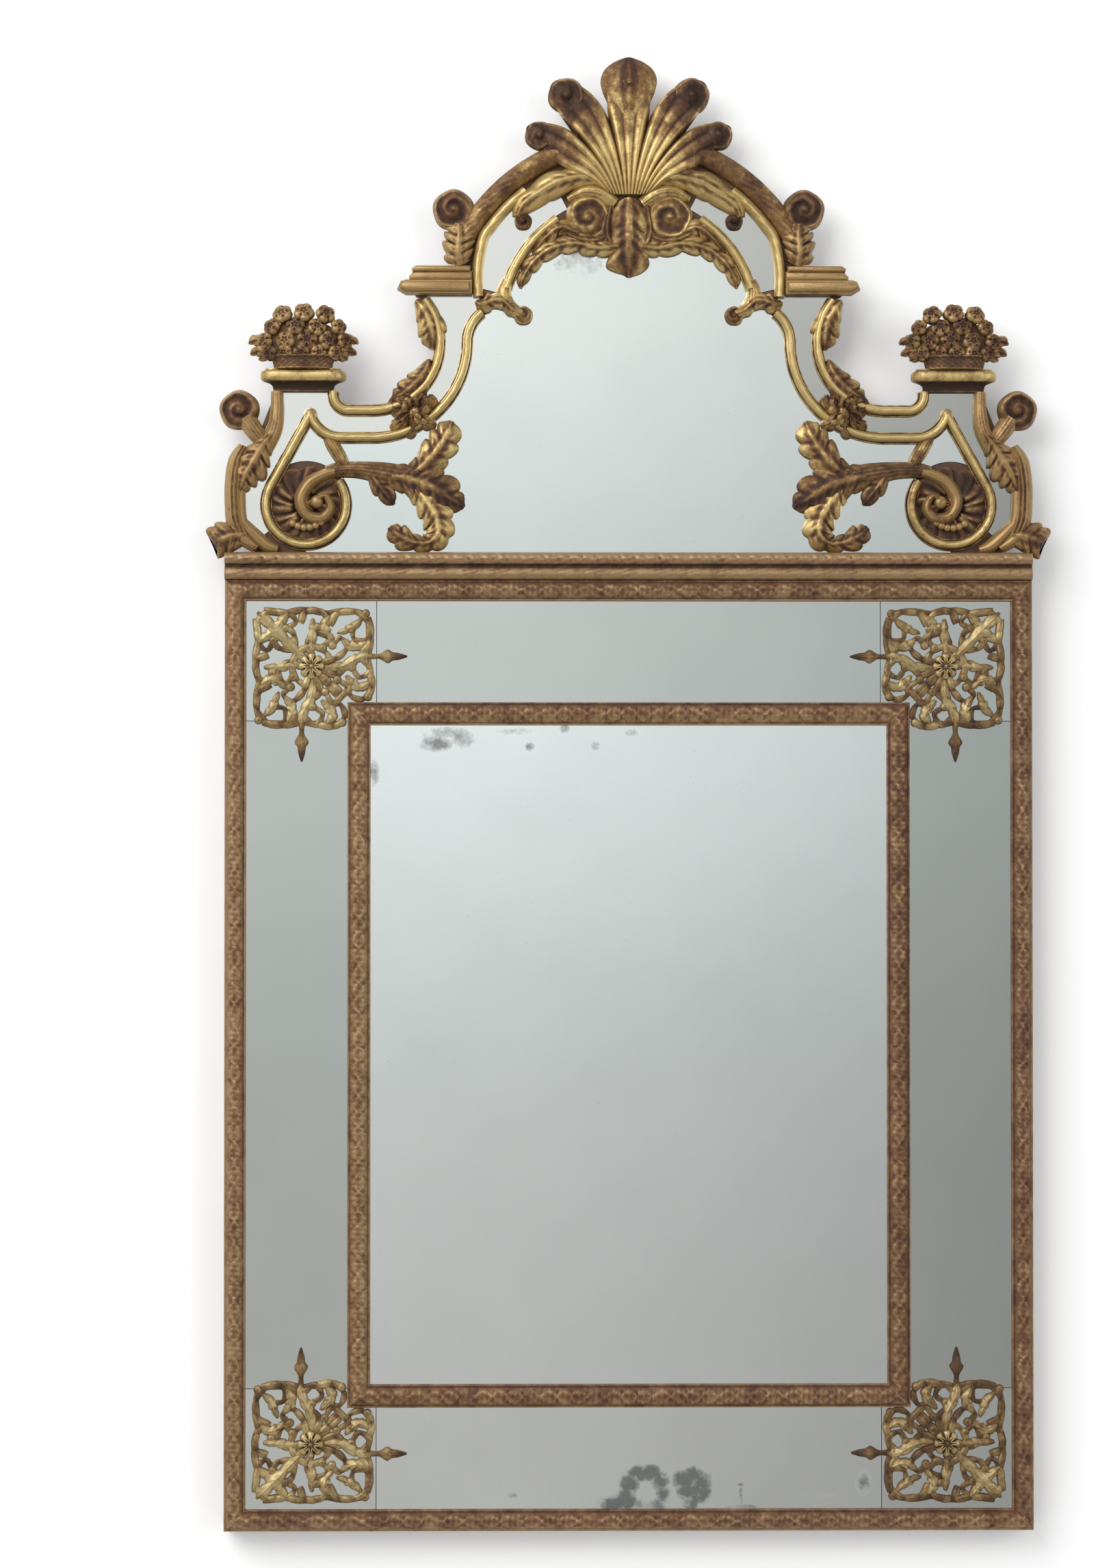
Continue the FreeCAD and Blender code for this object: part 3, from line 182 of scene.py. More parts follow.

# silver of each plate at two heights, in m, and the heights; these shades and their grading are painted
# reflection of the room, and the crest's right-hand strips are set darker
plateLooks = {
    "plateCenter": {"low": (0.99, 0.995, 0.985), "high": (0.97, 1.0, 0.995), "span": (0.15, 0.95),
                    "nodes": ["center_glass"]},
    "plateSides": {"low": (0.77, 0.785, 0.75), "high": (0.61, 0.625, 0.60), "span": (0.15, 0.95),
                   "nodes": ["border_glass_left", "border_glass_right"]},
    "plateTop": {"low": (0.66, 0.675, 0.655), "high": (0.66, 0.675, 0.655), "span": (0.95, 1.1),
                 "nodes": ["border_glass_top"]},
    "plateBottom": {"low": (0.98, 0.985, 0.96), "high": (0.96, 0.965, 0.94), "span": (0.0, 0.15),
                    "nodes": ["border_glass_bottom"]},
    "plateCorners": {"low": (0.90, 0.91, 0.885), "high": (0.66, 0.67, 0.65), "span": (0.15, 0.95),
                     "nodes": ["corner_glasses"]},
    "plateCrest": {"low": (0.76, 0.785, 0.775), "high": (0.95, 0.97, 0.95), "span": (1.13, 1.42),
                   "nodes": ["crest_glass_center"]},
    "plateStripsLeft": {"low": (0.86, 0.845, 0.80), "high": (0.88, 0.865, 0.84), "span": (1.13, 1.5),
                        "nodes": ["crest_glass_%s_left" % part for part in ("sweep", "wing", "arch")]},
    "plateStripsRight": {"low": (0.49, 0.475, 0.44), "high": (0.70, 0.685, 0.66), "span": (1.13, 1.5),
                         "nodes": ["crest_glass_%s_right" % part for part in ("sweep", "wing", "arch")]},
}
# spoilt silvering: middle across and up, half sizes, in m, and how strong it is
spoilt = {
    "plateBottom": [
        (-0.004, 0.036, 0.0165, 0.0180, 1.30), (0.001, 0.054, 0.0150, 0.0165, 1.30),
        (0.011, 0.066, 0.0180, 0.0135, 1.30), (0.025, 0.067, 0.0165, 0.0135, 1.30),
        (0.037, 0.058, 0.0150, 0.0150, 1.17), (0.040, 0.043, 0.0120, 0.0180, 1.04),
        (0.034, 0.030, 0.0180, 0.0135, 0.91), (-0.016, 0.030, 0.0270, 0.0135, 1.17),
        (0.012, 0.030, 0.0300, 0.0105, 0.78), (0.064, 0.059, 0.0180, 0.0150, 1.30),
        (0.076, 0.064, 0.0180, 0.0135, 1.30), (0.086, 0.056, 0.0150, 0.0165, 1.30),
        (0.083, 0.044, 0.0180, 0.0165, 1.30), (0.066, 0.046, 0.0150, 0.0150, 1.17),
        (0.072, 0.030, 0.0135, 0.0150, 1.04), (0.131, 0.041, 0.0040, 0.0225, 0.80),
        (0.131, 0.053, 0.0120, 0.0040, 0.75), (0.131, 0.027, 0.0330, 0.0060, 0.80),
        (-0.136, 0.041, 0.010, 0.005, 0.8), (0.275, 0.055, 0.012, 0.022, 0.9),
        (0.225, 0.040, 0.040, 0.006, 0.5)],
    "plateCenter": [
        (-0.227, 0.921, 0.0234, 0.0117, 0.95), (-0.194, 0.928, 0.0208, 0.0156, 0.69),
        (-0.213, 0.934, 0.0468, 0.0104, 0.62), (-0.116, 0.918, 0.0078, 0.0065, 0.90),
        (-0.039, 0.919, 0.0078, 0.0078, 0.67), (-0.135, 0.936, 0.0312, 0.0078, 0.56),
        (-0.075, 0.939, 0.0091, 0.0078, 0.67), (-0.299, 0.888, 0.0091, 0.0234, 0.67),
        (0.004, 0.934, 0.0130, 0.0078, 0.56)],
    "plateCrest": [
        (-0.060, 1.488, 0.050, 0.026, 0.55), (-0.170, 1.390, 0.020, 0.050, 0.35),
        (0.130, 1.187, 0.024, 0.010, 0.45), (0.020, 1.160, 0.200, 0.006, 0.35)],
}


def plateFinish(name, look):
    # old silvered glass: soft reflection, clouded and freckled, with dark marks where the silver has gone
    made, tree, place = newFinish(name)
    axes = apart(tree, place)
    wander = noise(tree, place, scale=95.0, detail=8.0, rough=0.72)
    total = 0.0
    for across, up, wide, tall, strength in spoilt.get(name, []):
        dx = calc(tree, "DIVIDE", calc(tree, "SUBTRACT", axes["X"], across), wide)
        dz = calc(tree, "DIVIDE", calc(tree, "SUBTRACT", axes["Z"], up), tall)
        far = calc(tree, "MULTIPLY_ADD", dz, dz, calc(tree, "MULTIPLY", dx, dx))
        total = calc(tree, "MAXIMUM", total, spread(tree, far, 1.3, 0.0, 0.0, strength))
    spots = calc(tree, "MULTIPLY", total, wander)
    spots = ramp(tree, spots, [(0.20, grey(0.0)), (0.42, grey(0.72)), (0.55, grey(0.9))])
    cloud = noise(tree, place, scale=9.0, detail=3.0, rough=0.5)
    # painted reflection: the plate's shade graded by height
    level = spread(tree, axes["Z"], *look["span"])
    silver = blend(tree, level, look["low"], look["high"])
    dimmed = [tuple(part * 0.955 for part in look[end]) for end in ("low", "high")]
    cloudy = fade(tree, cloud, (0.35, 0.0), (0.75, 1.0))
    silver = blend(tree, cloudy, silver, blend(tree, level, *dimmed))
    grain = noise(tree, place, scale=420.0, detail=2.0, rough=0.5)
    freckle = fade(tree, grain, (0.70, 0.0), (0.78, 0.5))
    silver = blend(tree, freckle, silver, (0.42, 0.43, 0.41))
    dress(tree, {
        "Base Color": blend(tree, spots, silver, (0.06, 0.066, 0.062)),
        "Metallic": fade(tree, spots, (0.0, 1.0), (1.0, 0.25)),
        "Roughness": fade(tree, spots, (0.0, 0.10), (1.0, 0.45))})
    return made


for plateName, look in plateLooks.items():
    finish = plateFinish(plateName, look)
    for nodeName in look["nodes"]:
        cover(nodeName, finish)


def pineFinish():
    # old softwood, darkened, with grain that runs up the boards
    made, tree, place = newFinish("oldPine")
    faced = spread(tree, apart(tree, place)["Y"], -0.0352, -0.0345, 1.0, 0.0)
    stretched = put(tree, "Mapping", {"Vector": place, "Scale": (1.0, 1.0, 0.06)}).outputs["Vector"]
    rings = noise(tree, stretched, scale=95.0, detail=5.0, rough=0.6)
    stain = noise(tree, place, scale=7.0, detail=4.0, rough=0.55)
    wood = ramp(tree, rings, [(0.30, (0.105, 0.058, 0.028)), (0.52, (0.21, 0.125, 0.062)),
                              (0.72, (0.29, 0.185, 0.098))])
    stained = fade(tree, stain, (0.38, 0.0), (0.72, 0.75))
    colour = blend(tree, stained, wood, (0.07, 0.043, 0.025))
    worn = ramp(tree, stain, [(0.35, (0.17, 0.085, 0.042)), (0.60, (0.075, 0.034, 0.019))])
    dress(tree, {
        "Base Color": blend(tree, faced, colour, worn),  # front edges were gilded with the carving
        "Roughness": fade(tree, rings, (0.3, 0.62), (0.7, 0.82)),
        "Normal": bumped(tree, rings, strength=0.5, distance=0.0007)})
    return made


def ironFinish(name, bright, dark, rust):
    # forged iron or an old screw: dark skin, rubbed bright in places and rusted in others
    made, tree, place = newFinish(name)
    skin = noise(tree, place, scale=260.0, detail=5.0, rough=0.65)
    bloom = noise(tree, place, scale=110.0, detail=4.0, rough=0.6)
    metal = ramp(tree, skin, [(0.35, dark), (0.68, bright)])
    rusty = fade(tree, bloom, (0.52, 0.0), (0.66, 0.8))
    dress(tree, {
        "Base Color": blend(tree, rusty, metal, rust),
        "Metallic": fade(tree, rusty, (0.0, 0.9), (1.0, 0.1)),
        "Roughness": fade(tree, skin, (0.3, 0.38), (0.7, 0.6)),
        "Normal": bumped(tree, skin, strength=0.4, distance=0.0004)})
    return made


pine = pineFinish()
iron = ironFinish("blackIron", (0.17, 0.16, 0.15), (0.045, 0.042, 0.04), (0.13, 0.05, 0.022))
steel = ironFinish("oldScrew", (0.42, 0.40, 0.37), (0.17, 0.16, 0.15), (0.16, 0.075, 0.035))
backFinishes = [(pine, ["crest_board", "back_boards", "crest_struts", "retaining_blocks"]),
                (iron, ["hanger_plates", "hanger_ring_left", "hanger_ring_right"]), (steel, ["wood_screws"])]
for finish, nodeNames in backFinishes:
    for nodeName in nodeNames:
        cover(nodeName, finish)
print("finishes made:", len(bpy.data.materials))


# carving tools
class Carving:
    def __init__(self):
        self.points = []
        self.faces = []
        self.tones = []
        self.count = 0

    def add(self, points, faces, tone=0.0):
        # tone darkens the gilding above 0 and brightens it below 0; set on the pieces, it holds painted shade
        # and painted highlight along with differences in the gilding
        points = np.array(points, float).reshape(-1, 3)
        points[points[:, 1] > -plateFront - 0.01, 1] -= 0.02 * len(self.points)  # no two backs in one plane
        self.points.append(points)
        self.tones.append(np.broadcast_to(np.ravel(tone), (len(points),)))
        self.faces += [[i + self.count for i in face] for face in faces]
        self.count += len(points)


def loopFaces(rows, columns):
    # quads of a grid whose columns close on themselves
    faces = []
    for i in range(rows - 1):
        a, b = i * columns, (i + 1) * columns
        for j in range(columns):
            k = (j + 1) % columns
            faces.append((a + j, b + j, b + k, a + k))
    return faces


def skinFaces(rows, columns):
    # the same, with both ends closed
    last = range(rows * columns - 1, (rows - 1) * columns - 1, -1)
    return loopFaces(rows, columns) + [tuple(range(columns)), tuple(last)]


def unit(value):
    return np.clip(value, 0, 1)


def hump(away, width):
    return np.exp(-(away / width) ** 2)


def padded(rows):
    return np.hstack([rows[:, :1], rows, rows[:, -1:]])


def sweep(carving, line, across, front, along=None, base=plateFront, tone=(0.0, 0.0)):
    # sections of across and distance from the wall, closed down to a base and carried along a line
    line = np.asarray(line, float)
    way = np.gradient(line, axis=0)
    way /= np.maximum(np.linalg.norm(way, axis=1), 1e-9)[:, None]
    side = np.stack([way[:, 1], -way[:, 0]], 1)
    across = padded(across)
    foot = np.full((len(line), 1), base)
    flat = line[:, None, :] + across[..., None] * side[:, None, :]
    if along is not None:
        flat = flat + padded(along)[..., None] * way[:, None, :]
    points = np.stack([flat[..., 0], -np.hstack([foot, front, foot]), flat[..., 1]], -1)
    rows, columns = across.shape
    carving.add(points, skinFaces(rows, columns), np.repeat(np.linspace(*tone, rows), columns))


def runOf(line):
    # distance along a line at each of its points
    return np.concatenate([[0], np.cumsum(np.linalg.norm(np.diff(line, axis=0), axis=1))])


def curveThrough(rows, step):
    # smooth line through rows of x, z and any widths and heights, in even steps
    rows = np.asarray(rows, float)
    held = np.vstack([2 * rows[0] - rows[1], rows, 2 * rows[-1] - rows[-2]])
    t = np.linspace(0, 1, 24, endpoint=False)[:, None]
    spans = []
    for a, b, c, d in zip(held[:-3], held[1:-2], held[2:-1], held[3:]):
        bent = (2 * a - 5 * b + 4 * c - d) * t ** 2 + (3 * b - a - 3 * c + d) * t ** 3
        spans.append(0.5 * (2 * b + (c - a) * t + bent))
    fine = np.vstack(spans + [rows[-1:]])
    run = runOf(fine[:, :2])
    at = np.linspace(0, run[-1], max(8, int(run[-1] / step) + 1))
    return np.stack([np.interp(at, run, column) for column in fine.T], 1)


def leaf(carving, rows, lobes=0, notch=0.34, edge=0.4, rib=0.10, base=plateFront, points=17, step=1.7,
         tone=(0.0, 0.0)):
    # carved leaf: rows of x, z, half width and height; lobes cut its edges, and veins run out to them
    line = curveThrough(rows, step)
    u = np.linspace(0, 1, len(line))[:, None]
    t = np.linspace(-1, 1, points)[None, :]
    far = np.abs(t)
    half = np.maximum(line[:, 2:3], 0.3)
    high = np.maximum(line[:, 3:4], 0.5)
    body = edge + (1 - edge) * (1 - far ** 2.2)
    if not lobes:
        body = body + 0.3 * rib * np.cos(5 * np.pi * t) * (1 - far)
        sweep(carving, line[:, :2], t * half, base + high * np.maximum(body, 0.12), base=base, tone=tone)
        return
    stray = rows[0][0] * 0.37 + rows[0][1] * 0.21  # no two leaves are cut quite alike
    wander = 0.5 * np.sin(2 * np.pi * 1.6 * u + stray) * u * (1 - u)
    cut = np.pi * (lobes * u + wander + 0.15 * t * np.sin(stray))
    wave = np.abs(np.sin(cut)) ** 0.6
    along = 0.5 * half * far ** 1.5 * (0.55 + 0.45 * wave)  # the lobes sweep towards the tip
    body = body + rib * (hump(t, 0.15) - 0.35 * hump(far - 0.34, 0.14))
    body = body + 0.17 * (np.abs(np.sin(cut)) ** 1.3 - 0.6) * far ** 1.8
    body = body + 0.05 * np.cos(4 * cut - 5 * far) * far * (1 - far) * 2
    across = t * half * (1 - notch * (1 - wave))
    sweep(carving, line[:, :2], across, base + high * np.maximum(body, 0.12), along, base, tone)


def carveLeaves(carving, parts, side=1):
    # all the leaves of a table, or their image on the other side
    for part in parts.values():
        leaf(carving, **{**part, "rows": [(side * x, *rest) for x, *rest in part["rows"]]})


def moulding(carving, line, profile, carve=None, tone=(0.0, 0.0)):
    # a moulded strip: profile rows of across and height, with an optional carved repeat along it
    line = np.asarray(line, float)
    profile = np.asarray(profile, float)
    run = runOf(line)[:, None]
    across = np.repeat(profile[None, :, 0], len(line), 0)
    front = plateFront + np.repeat(profile[None, :, 1], len(line), 0)
    if carve:
        front = front + carve(run, across)
    front = front + 0.3 * np.sin(run * 0.31 + across) * np.sin(run * 0.083)  # cut by hand, so uneven
    sweep(carving, line, across, front, tone=tone)


def polar(carving, middle, radius, shape, rings, spokes, rim=None, base=plateFront, facing=(0, -1, 0),
          tone=0.0):
    # round carving: shape(share, turn) gives its height, rim(turn) its outline
    share = np.linspace(0, 1, rings + 1)[1:, None]
    turn = np.linspace(0, 2 * np.pi, spokes, endpoint=False)[None, :]
    reach = radius * share * (rim(turn) if rim else np.ones_like(turn))
    high = shape(share, turn) * np.ones_like(reach)
    out = Vector(facing).normalized()
    right = Vector((0, 0, 1)).cross(out) * -1
    right.normalize()
    up = out.cross(right) * -1
    axes = np.array([right, up, out], float)
    local = np.stack([reach * np.cos(turn), reach * np.sin(turn), high], -1)
    foot = local[-1] * (1, 1, 0)
    top = np.array([[0, 0, float(shape(np.zeros((1, 1)), np.zeros((1, 1))).ravel()[0])]])
    whole = np.vstack([top, local.reshape(-1, 3), foot])
    origin = np.array([middle[0], -base if len(middle) == 2 else middle[1], middle[-1]])
    faces = [(0, 1 + j, 1 + (j + 1) % spokes) for j in range(spokes)]
    faces += [tuple(1 + i for i in face) for face in loopFaces(rings + 1, spokes)]
    faces.append(tuple(1 + rings * spokes + j for j in range(spokes)))
    carving.add(origin + whole @ axes, faces, tone)


def scrollEnd(carving, middle, radius, high, turns, hand=1, tone=0.0):
    # rolled end of a scroll: a worn spiral roll that climbs to its eye
    def rim(turn):
        return 0.98 + 0.02 * np.cos(5 * turn + middle[0])

    def shape(share, turn):
        coil = (turns * (1 - share) + hand * turn / (2 * np.pi)) % 1.0
        roll = np.sin(np.pi * coil) ** 2
        past = unit((share - 0.14) / 0.2)  # the eye is plain
        body = (0.64 + 0.30 * (1 - share)) * (1 - 0.26 * (1 - roll) * past)
        body = body + 0.012 * np.cos(9 * turn + 7 * share) * share
        return high * (body * unit((1.02 - share) / 0.16) ** 0.5 + 0.08 * hump(share, 0.16))

    polar(carving, middle, radius, shape, 26, 56, rim, tone=tone)


def rose(carving, middle, radius, high, petals, rings, spokes, twist=0.0, facing=(0, -1, 0), tone=0.0):
    # open flower: a ring of cupped petals round a small inner ring and a boss
    def rim(turn):
        return 0.80 + 0.20 * np.abs(np.cos(petals * (turn + twist) / 2)) ** 0.6

    def shape(share, turn):
        outer = np.abs(np.cos(petals * (turn + twist) / 2)) ** 0.5
        inner = np.abs(np.sin(petals * (turn + twist) / 2)) ** 0.5
        cup = np.sin(np.pi * unit(share * 1.25 - 0.25))
        body = 0.50 + 0.30 * outer * cup - 0.18 * (share > 0.92)
        body = body + 0.30 * inner * hump(share - 0.40, 0.17) + 0.36 * hump(share, 0.24)
        return high * body

    polar(carving, middle, radius, shape, rings, spokes, rim, facing=facing, tone=tone)


def ball(carving, middle, radius, base=plateFront, tone=0.0):
    def shape(share, turn):
        return radius * (0.25 + np.sqrt(unit(1 - share ** 2)))

    polar(carving, middle, radius, shape, 6, 16, base=base, tone=tone)


def prism(carving, outline, steps):
    # an outline carried forward from the plates, drawn in by a little at each step
    outline = np.asarray(outline, float)
    before, after = outline - np.roll(outline, 1, 0), np.roll(outline, -1, 0) - outline
    turned = [np.stack([way[:, 1], -way[:, 0]], 1) / np.linalg.norm(way, axis=1)[:, None]
              for way in (before, after)]
    area = np.sum(outline[:, 0] * np.roll(outline[:, 1], -1) - np.roll(outline[:, 0], -1) * outline[:, 1])
    mean = (turned[0] + turned[1]) * np.sign(area)
    mean /= np.maximum(np.sum(mean * turned[0] * np.sign(area), 1), 0.35)[:, None]
    layers = []
    for inset, d in steps:
        x, z = (outline - mean * inset).T
        layers.append(np.column_stack([x, np.full(len(x), -d), z]))
    carving.add(np.vstack(layers), skinFaces(len(steps), len(outline)))


def shadeAndSoilOf(mesh):
    # how far each point lies below (above 0.5) or above (below 0.5) the smoothed surface round it: painted
    # shade with soil in the hollows, painted highlight on the ridges
    count = len(mesh.vertices)
    place = np.zeros(count * 3)
    mesh.vertices.foreach_get("co", place)
    place = place.reshape(-1, 3) * 1000
    normal = np.zeros(count * 3)
    mesh.vertices.foreach_get("normal", normal)
    ends = np.zeros(len(mesh.edges) * 2, int)
    mesh.edges.foreach_get("vertices", ends)
    a, b = ends[::2], ends[1::2]
    links = np.maximum(np.bincount(a, minlength=count) + np.bincount(b, minlength=count), 1)[:, None]
    soft = place.copy()
    for i in range(14):
        total = [np.bincount(a, soft[b, k], count) + np.bincount(b, soft[a, k], count) for k in range(3)]
        soft = 0.4 * soft + 0.6 * np.stack(total, 1) / links
    depth = np.sum((soft - place) * normal.reshape(-1, 3), 1)
    low = unit(1 + (place[:, 1] + plateFront) / 7.0)  # painted shade along the foot of the carving, where it meets the plates
    return np.clip(0.5 + 0.32 * depth, 0.17, 0.9) + 0.30 * low


def finishPiece(name, carving, node, finish, mirrored=(1, 1), middle=0.0, tone=0.0):
    # makes the mesh, in m, mirrored across x or about a height, and stands it in for its CAD node
    points = np.vstack(carving.points) * 0.001
    points = points * (mirrored[0], 1, mirrored[1]) + (0, 0, middle * 0.001 * (1 - mirrored[1]))
    mesh = bpy.data.meshes.new(name)
    mesh.from_pydata(points.tolist(), [], carving.faces)
    mesh.validate()
    shells = bmesh.new()
    shells.from_mesh(mesh)
    bmesh.ops.recalc_face_normals(shells, faces=shells.faces)
    shells.to_mesh(mesh)
    shells.free()
    made = bpy.data.objects.new(name, mesh)
    bpy.context.scene.collection.objects.link(made)
    mesh.polygons.foreach_set("use_smooth", np.ones(len(mesh.polygons), bool))
    mesh.set_sharp_from_angle(angle=math.radians(50))
    # painted shade and highlight with soil and wear, plus each piece's tone
    shade = unit(shadeAndSoilOf(mesh) + np.concatenate(carving.tones) + tone)
    mesh.attributes.new("shadeAndSoil", "FLOAT", "POINT").data.foreach_set("value", shade.astype(np.float32))
    mesh.materials.append(gilt[finish])
    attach(made, "mirror")
    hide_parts(node)


def finishPair(name, carving, finish):
    # the right-hand carving, a little darker with painted shade, and its image on the left
    words = name.split("_")
    plain = words[0] + "".join(word.capitalize() for word in words[1:])
    finishPiece(plain + "CarvedRight", carving, name + "_right", finish, tone=0.05)
    finishPiece(plain + "CarvedLeft", carving, name + "_left", finish, (-1, 1))


def onCircle(middle, radius, degrees):
    turn = np.radians(degrees)
    return np.stack([middle[0] + radius * np.cos(turn), middle[1] + radius * np.sin(turn)], -1)


def arcLine(middle, radius, start, end, step=lineStep):
    count = max(6, int(abs(end - start) * math.pi / 180 * radius / step))
    return onCircle(middle, radius, np.linspace(start, end, count))


def straight(a, b, step=lineStep):
    return np.linspace(a, b, max(3, int(math.dist(a, b) / step)))


def joinLines(*lines):
    whole = [np.asarray(lines[0], float)]
    for line in lines[1:]:
        line = np.asarray(line, float)
        whole.append(line[1:] if np.linalg.norm(line[0] - whole[-1][-1]) < 0.05 else line)
    return np.vstack(whole)


# lower frame: tones are at the outer and inner edge and paint shade and light onto each side, darker on the
# right stile and lighter on the left; backs are rows of inward and forward
lowerFrame = {
    "width": 948.0, "height": 1114.0, "step": 1.5,
    "tone": {"rail_bottom": (0.0, 0.14), "rail_top": (0.14, -0.10),
             "stile_left": (-0.02, -0.07), "stile_right": (0.10, 0.10)},
    "outer": {"face": 25.0, "crown": 14.0, "repeat": 23.0, "drawn": 0.0,
              "back": [(25.0, 0.0), (16.0, 0.0), (16.0, -36.0), (0.0, -36.0)]},
    "inner": {"face": 27.0, "crown": 13.0, "repeat": 19.0, "drawn": 144.0,
              "back": [(27.0, 0.0), (18.0, 0.0), (18.0, -4.0), (9.0, -4.0), (9.0, 0.0), (0.0, 0.0)]}}
uncarved = 9.0  # share of a section's points that lie off the crown


def runningLeaf(run, share, repeat):
    # leaf tips laid end to end, with a bead at each joint, cut unevenly by hand
    step = np.floor(run / repeat)
    run = run + repeat * 0.10 * np.sin(1.7 * step)
    x = 2 * ((run / repeat) % 1.0) - 1
    depth = 0.68 + 0.26 * np.sin(2.4 * step) * np.sin(0.9 * step + 1)
    tip = 0.92 * np.sqrt(unit(1 - x ** 2))
    inside = unit((tip - np.abs(share)) / 0.3)
    rib = hump(share, 0.2) * unit((0.9 - np.abs(x)) / 0.3)
    veins = np.cos(2 * np.pi * (2.0 * x - 1.2 * np.abs(share)))
    bead = hump(1 - np.abs(x), 0.18) * hump(share, 0.34)
    rough = 0.35 * np.sin(run * 0.71 + 2.3 * share) * np.sin(run * 0.29 - 3.0 * share)
    edgeFade = unit((1.0 - np.abs(share)) / 0.12)
    cut = 1.7 * inside - 1.2 - 0.6 * rib * inside + 0.5 * veins * inside * np.abs(share) + 1.5 * bead
    return edgeFade * (depth * cut + rough)


def frontProfile(face, crown):
    # flat step, hollow, rounded crown, hollow, flat step, and the share of each point across the crown
    share = np.linspace(-1, 1, 19)
    arc = np.sqrt(unit(1 - (share * 0.98) ** 2))
    high = 5 + (crown - 6.2) * arc - 0.6 * hump(np.abs(share) - 1, 0.05)
    step = [(0.0, 4.0), (0.7, 5.0), (2.4, 5.0)]
    rows = step + list(zip(face / 2 + (face / 2 - 3.0) * share, high))
    rows += [(face - across, up) for across, up in step[::-1]]
    return np.array(rows), np.array([uncarved] * 3 + list(share) + [uncarved] * 3)


def frameSide(kind, side):
    # one mitred length: its outer edge lies along the frame's edge and its section turns inwards
    look = lowerFrame[kind]
    face, drawn, repeat = look["face"], look["drawn"], look["repeat"]
    wide, tall = lowerFrame["width"], lowerFrame["height"]
    length = (tall if side.startswith("stile") else wide) - 2 * drawn
    profile, share = frontProfile(face, look["crown"])
    inward, front = np.vstack([profile, look["back"]]).T[:, None, :]
    shares = np.concatenate([share, [uncarved] * len(look["back"])])[None, :]
    rows = int(length / lowerFrame["step"])
    run = np.linspace(0, 1, rows)[:, None] * (length - 2 * inward) + inward - length / 2
    leaves = runningLeaf(run + 0.5 * repeat, shares, repeat)
    depth = plateFront + front + np.where(np.abs(shares) < 1.01, leaves, 0.0)
    offset = drawn + inward + 0 * run
    x, z = {"rail_bottom": (run, offset), "rail_top": (-run, tall - offset),
            "stile_left": (offset - wide / 2, tall / 2 - run),
            "stile_right": (wide / 2 - offset, tall / 2 + run)}[side]
    near, far = lowerFrame["tone"][side]
    carving = Carving()
    tone = near + (far - near) * inward / face + 0 * run
    carving.add(np.stack([x, -depth, z], -1), skinFaces(*run.shape), tone)
    name = kind + "".join(word.capitalize() for word in side.split("_")) + "Carved"
    finishPiece(name, carving, kind + "_" + side, "giltFrame")


for kind in ("outer", "inner"):
    for side in ("rail_bottom", "rail_top", "stile_left", "stile_right"):
        frameSide(kind, side)
print("lower frame carved")


# rail at the foot of the crest: two rounded bands with a quirk between them
crestRail = {"half": 474.0, "gadroon": 15.0, "step": 1.5,
             "lower": {"foot": 0.0, "width": 14.0, "low": 10.0, "rise": 4.0, "full": 0.7, "points": 9},
             "quirk": [(14.2, 9.0), (16.8, 9.0)],
             "upper": {"foot": 17.0, "width": 15.0, "low": 9.0, "rise": 7.6, "full": 0.6, "points": 13},
             "tones": [-0.12, 0.05, -0.07]}  # quirk, lower band, upper band


def railBand(look, kind):
    # rows of up, height, kind of band and share across it
    share = np.linspace(0, 1, look["points"])
    high = [look["low"] + look["rise"] * math.sin(math.pi * t) ** look["full"] for t in share]
    return [(look["foot"] + look["width"] * t, up, kind, t) for t, up in zip(share, high)]


def carveCrestRail():
    look = crestRail
    bands = railBand(look["lower"], 1) + [(up, high, 0, 0) for up, high in look["quirk"]]
    up, high, kind, t = np.array(bands + railBand(look["upper"], 2)).T
    line = straight((-look["half"], crestFoot), (look["half"], crestFoot), look["step"])

    def carve(run, across):
        gadroon = np.abs(np.sin(np.pi * (run + 5.0 * (t - 0.5)) / look["gadroon"])) ** 0.5
        reed = np.abs(np.sin(np.pi * (run - 4 * t) / (2 * look["gadroon"]))) ** 0.35
        belly = np.sin(np.pi * unit(t))
        rough = 0.5 * np.sin(run * 0.53 + 3 * t) * np.sin(run * 0.17)
        lower = np.where(kind == 1, -0.5 * (1 - reed), 0)
        return belly * np.where(kind == 2, rough - 1.1 * (1 - gadroon), lower)

    carving = Carving()
    moulding(carving, line, np.column_stack([-up, high]), carve)
    shade = np.choose(kind.astype(int), look["tones"])[None, :]
    carving.tones[-1] = np.tile(padded(shade)[0], len(line))
    finishPiece("crestRailCarved", carving, "crest_rail", "giltFrame")


# scroll mouldings of the crest: leaves lie on a radius, in rows of degrees, half width and height
scrollMoulding = {
    "width": 14.0, "crown": 14.6, "hookMiddle": (145.0, 1393.0), "hookRadius": 45.0, "innerRadius": 112.0,
    "bracketMiddle": (338.0, 1318.5), "bracketRadius": 37.5, "peak": (374.0, 1308.0), "ringRadius": 47.0,
    "outerRadius": 80.0, "cornerMiddle": (329.0, 1331.0), "cornerRadius": 18.0, "outerTop": 1335.0,
    "leaves": [
        {"radius": 72.0, "lobes": 3, "notch": 0.22, "tone": (0.06, 0.12),
         "rows": [(136, 5, 9), (147, 15, 14), (160, 18, 15), (174, 14, 13), (186, 3, 8)]},
        {"radius": 71.0, "lobes": 4, "notch": 0.26, "tone": (0.14, 0.2),
         "rows": [(196, 4, 9), (208, 13, 14), (222, 16, 15), (238, 12, 13), (250, 3, 8)]}]}


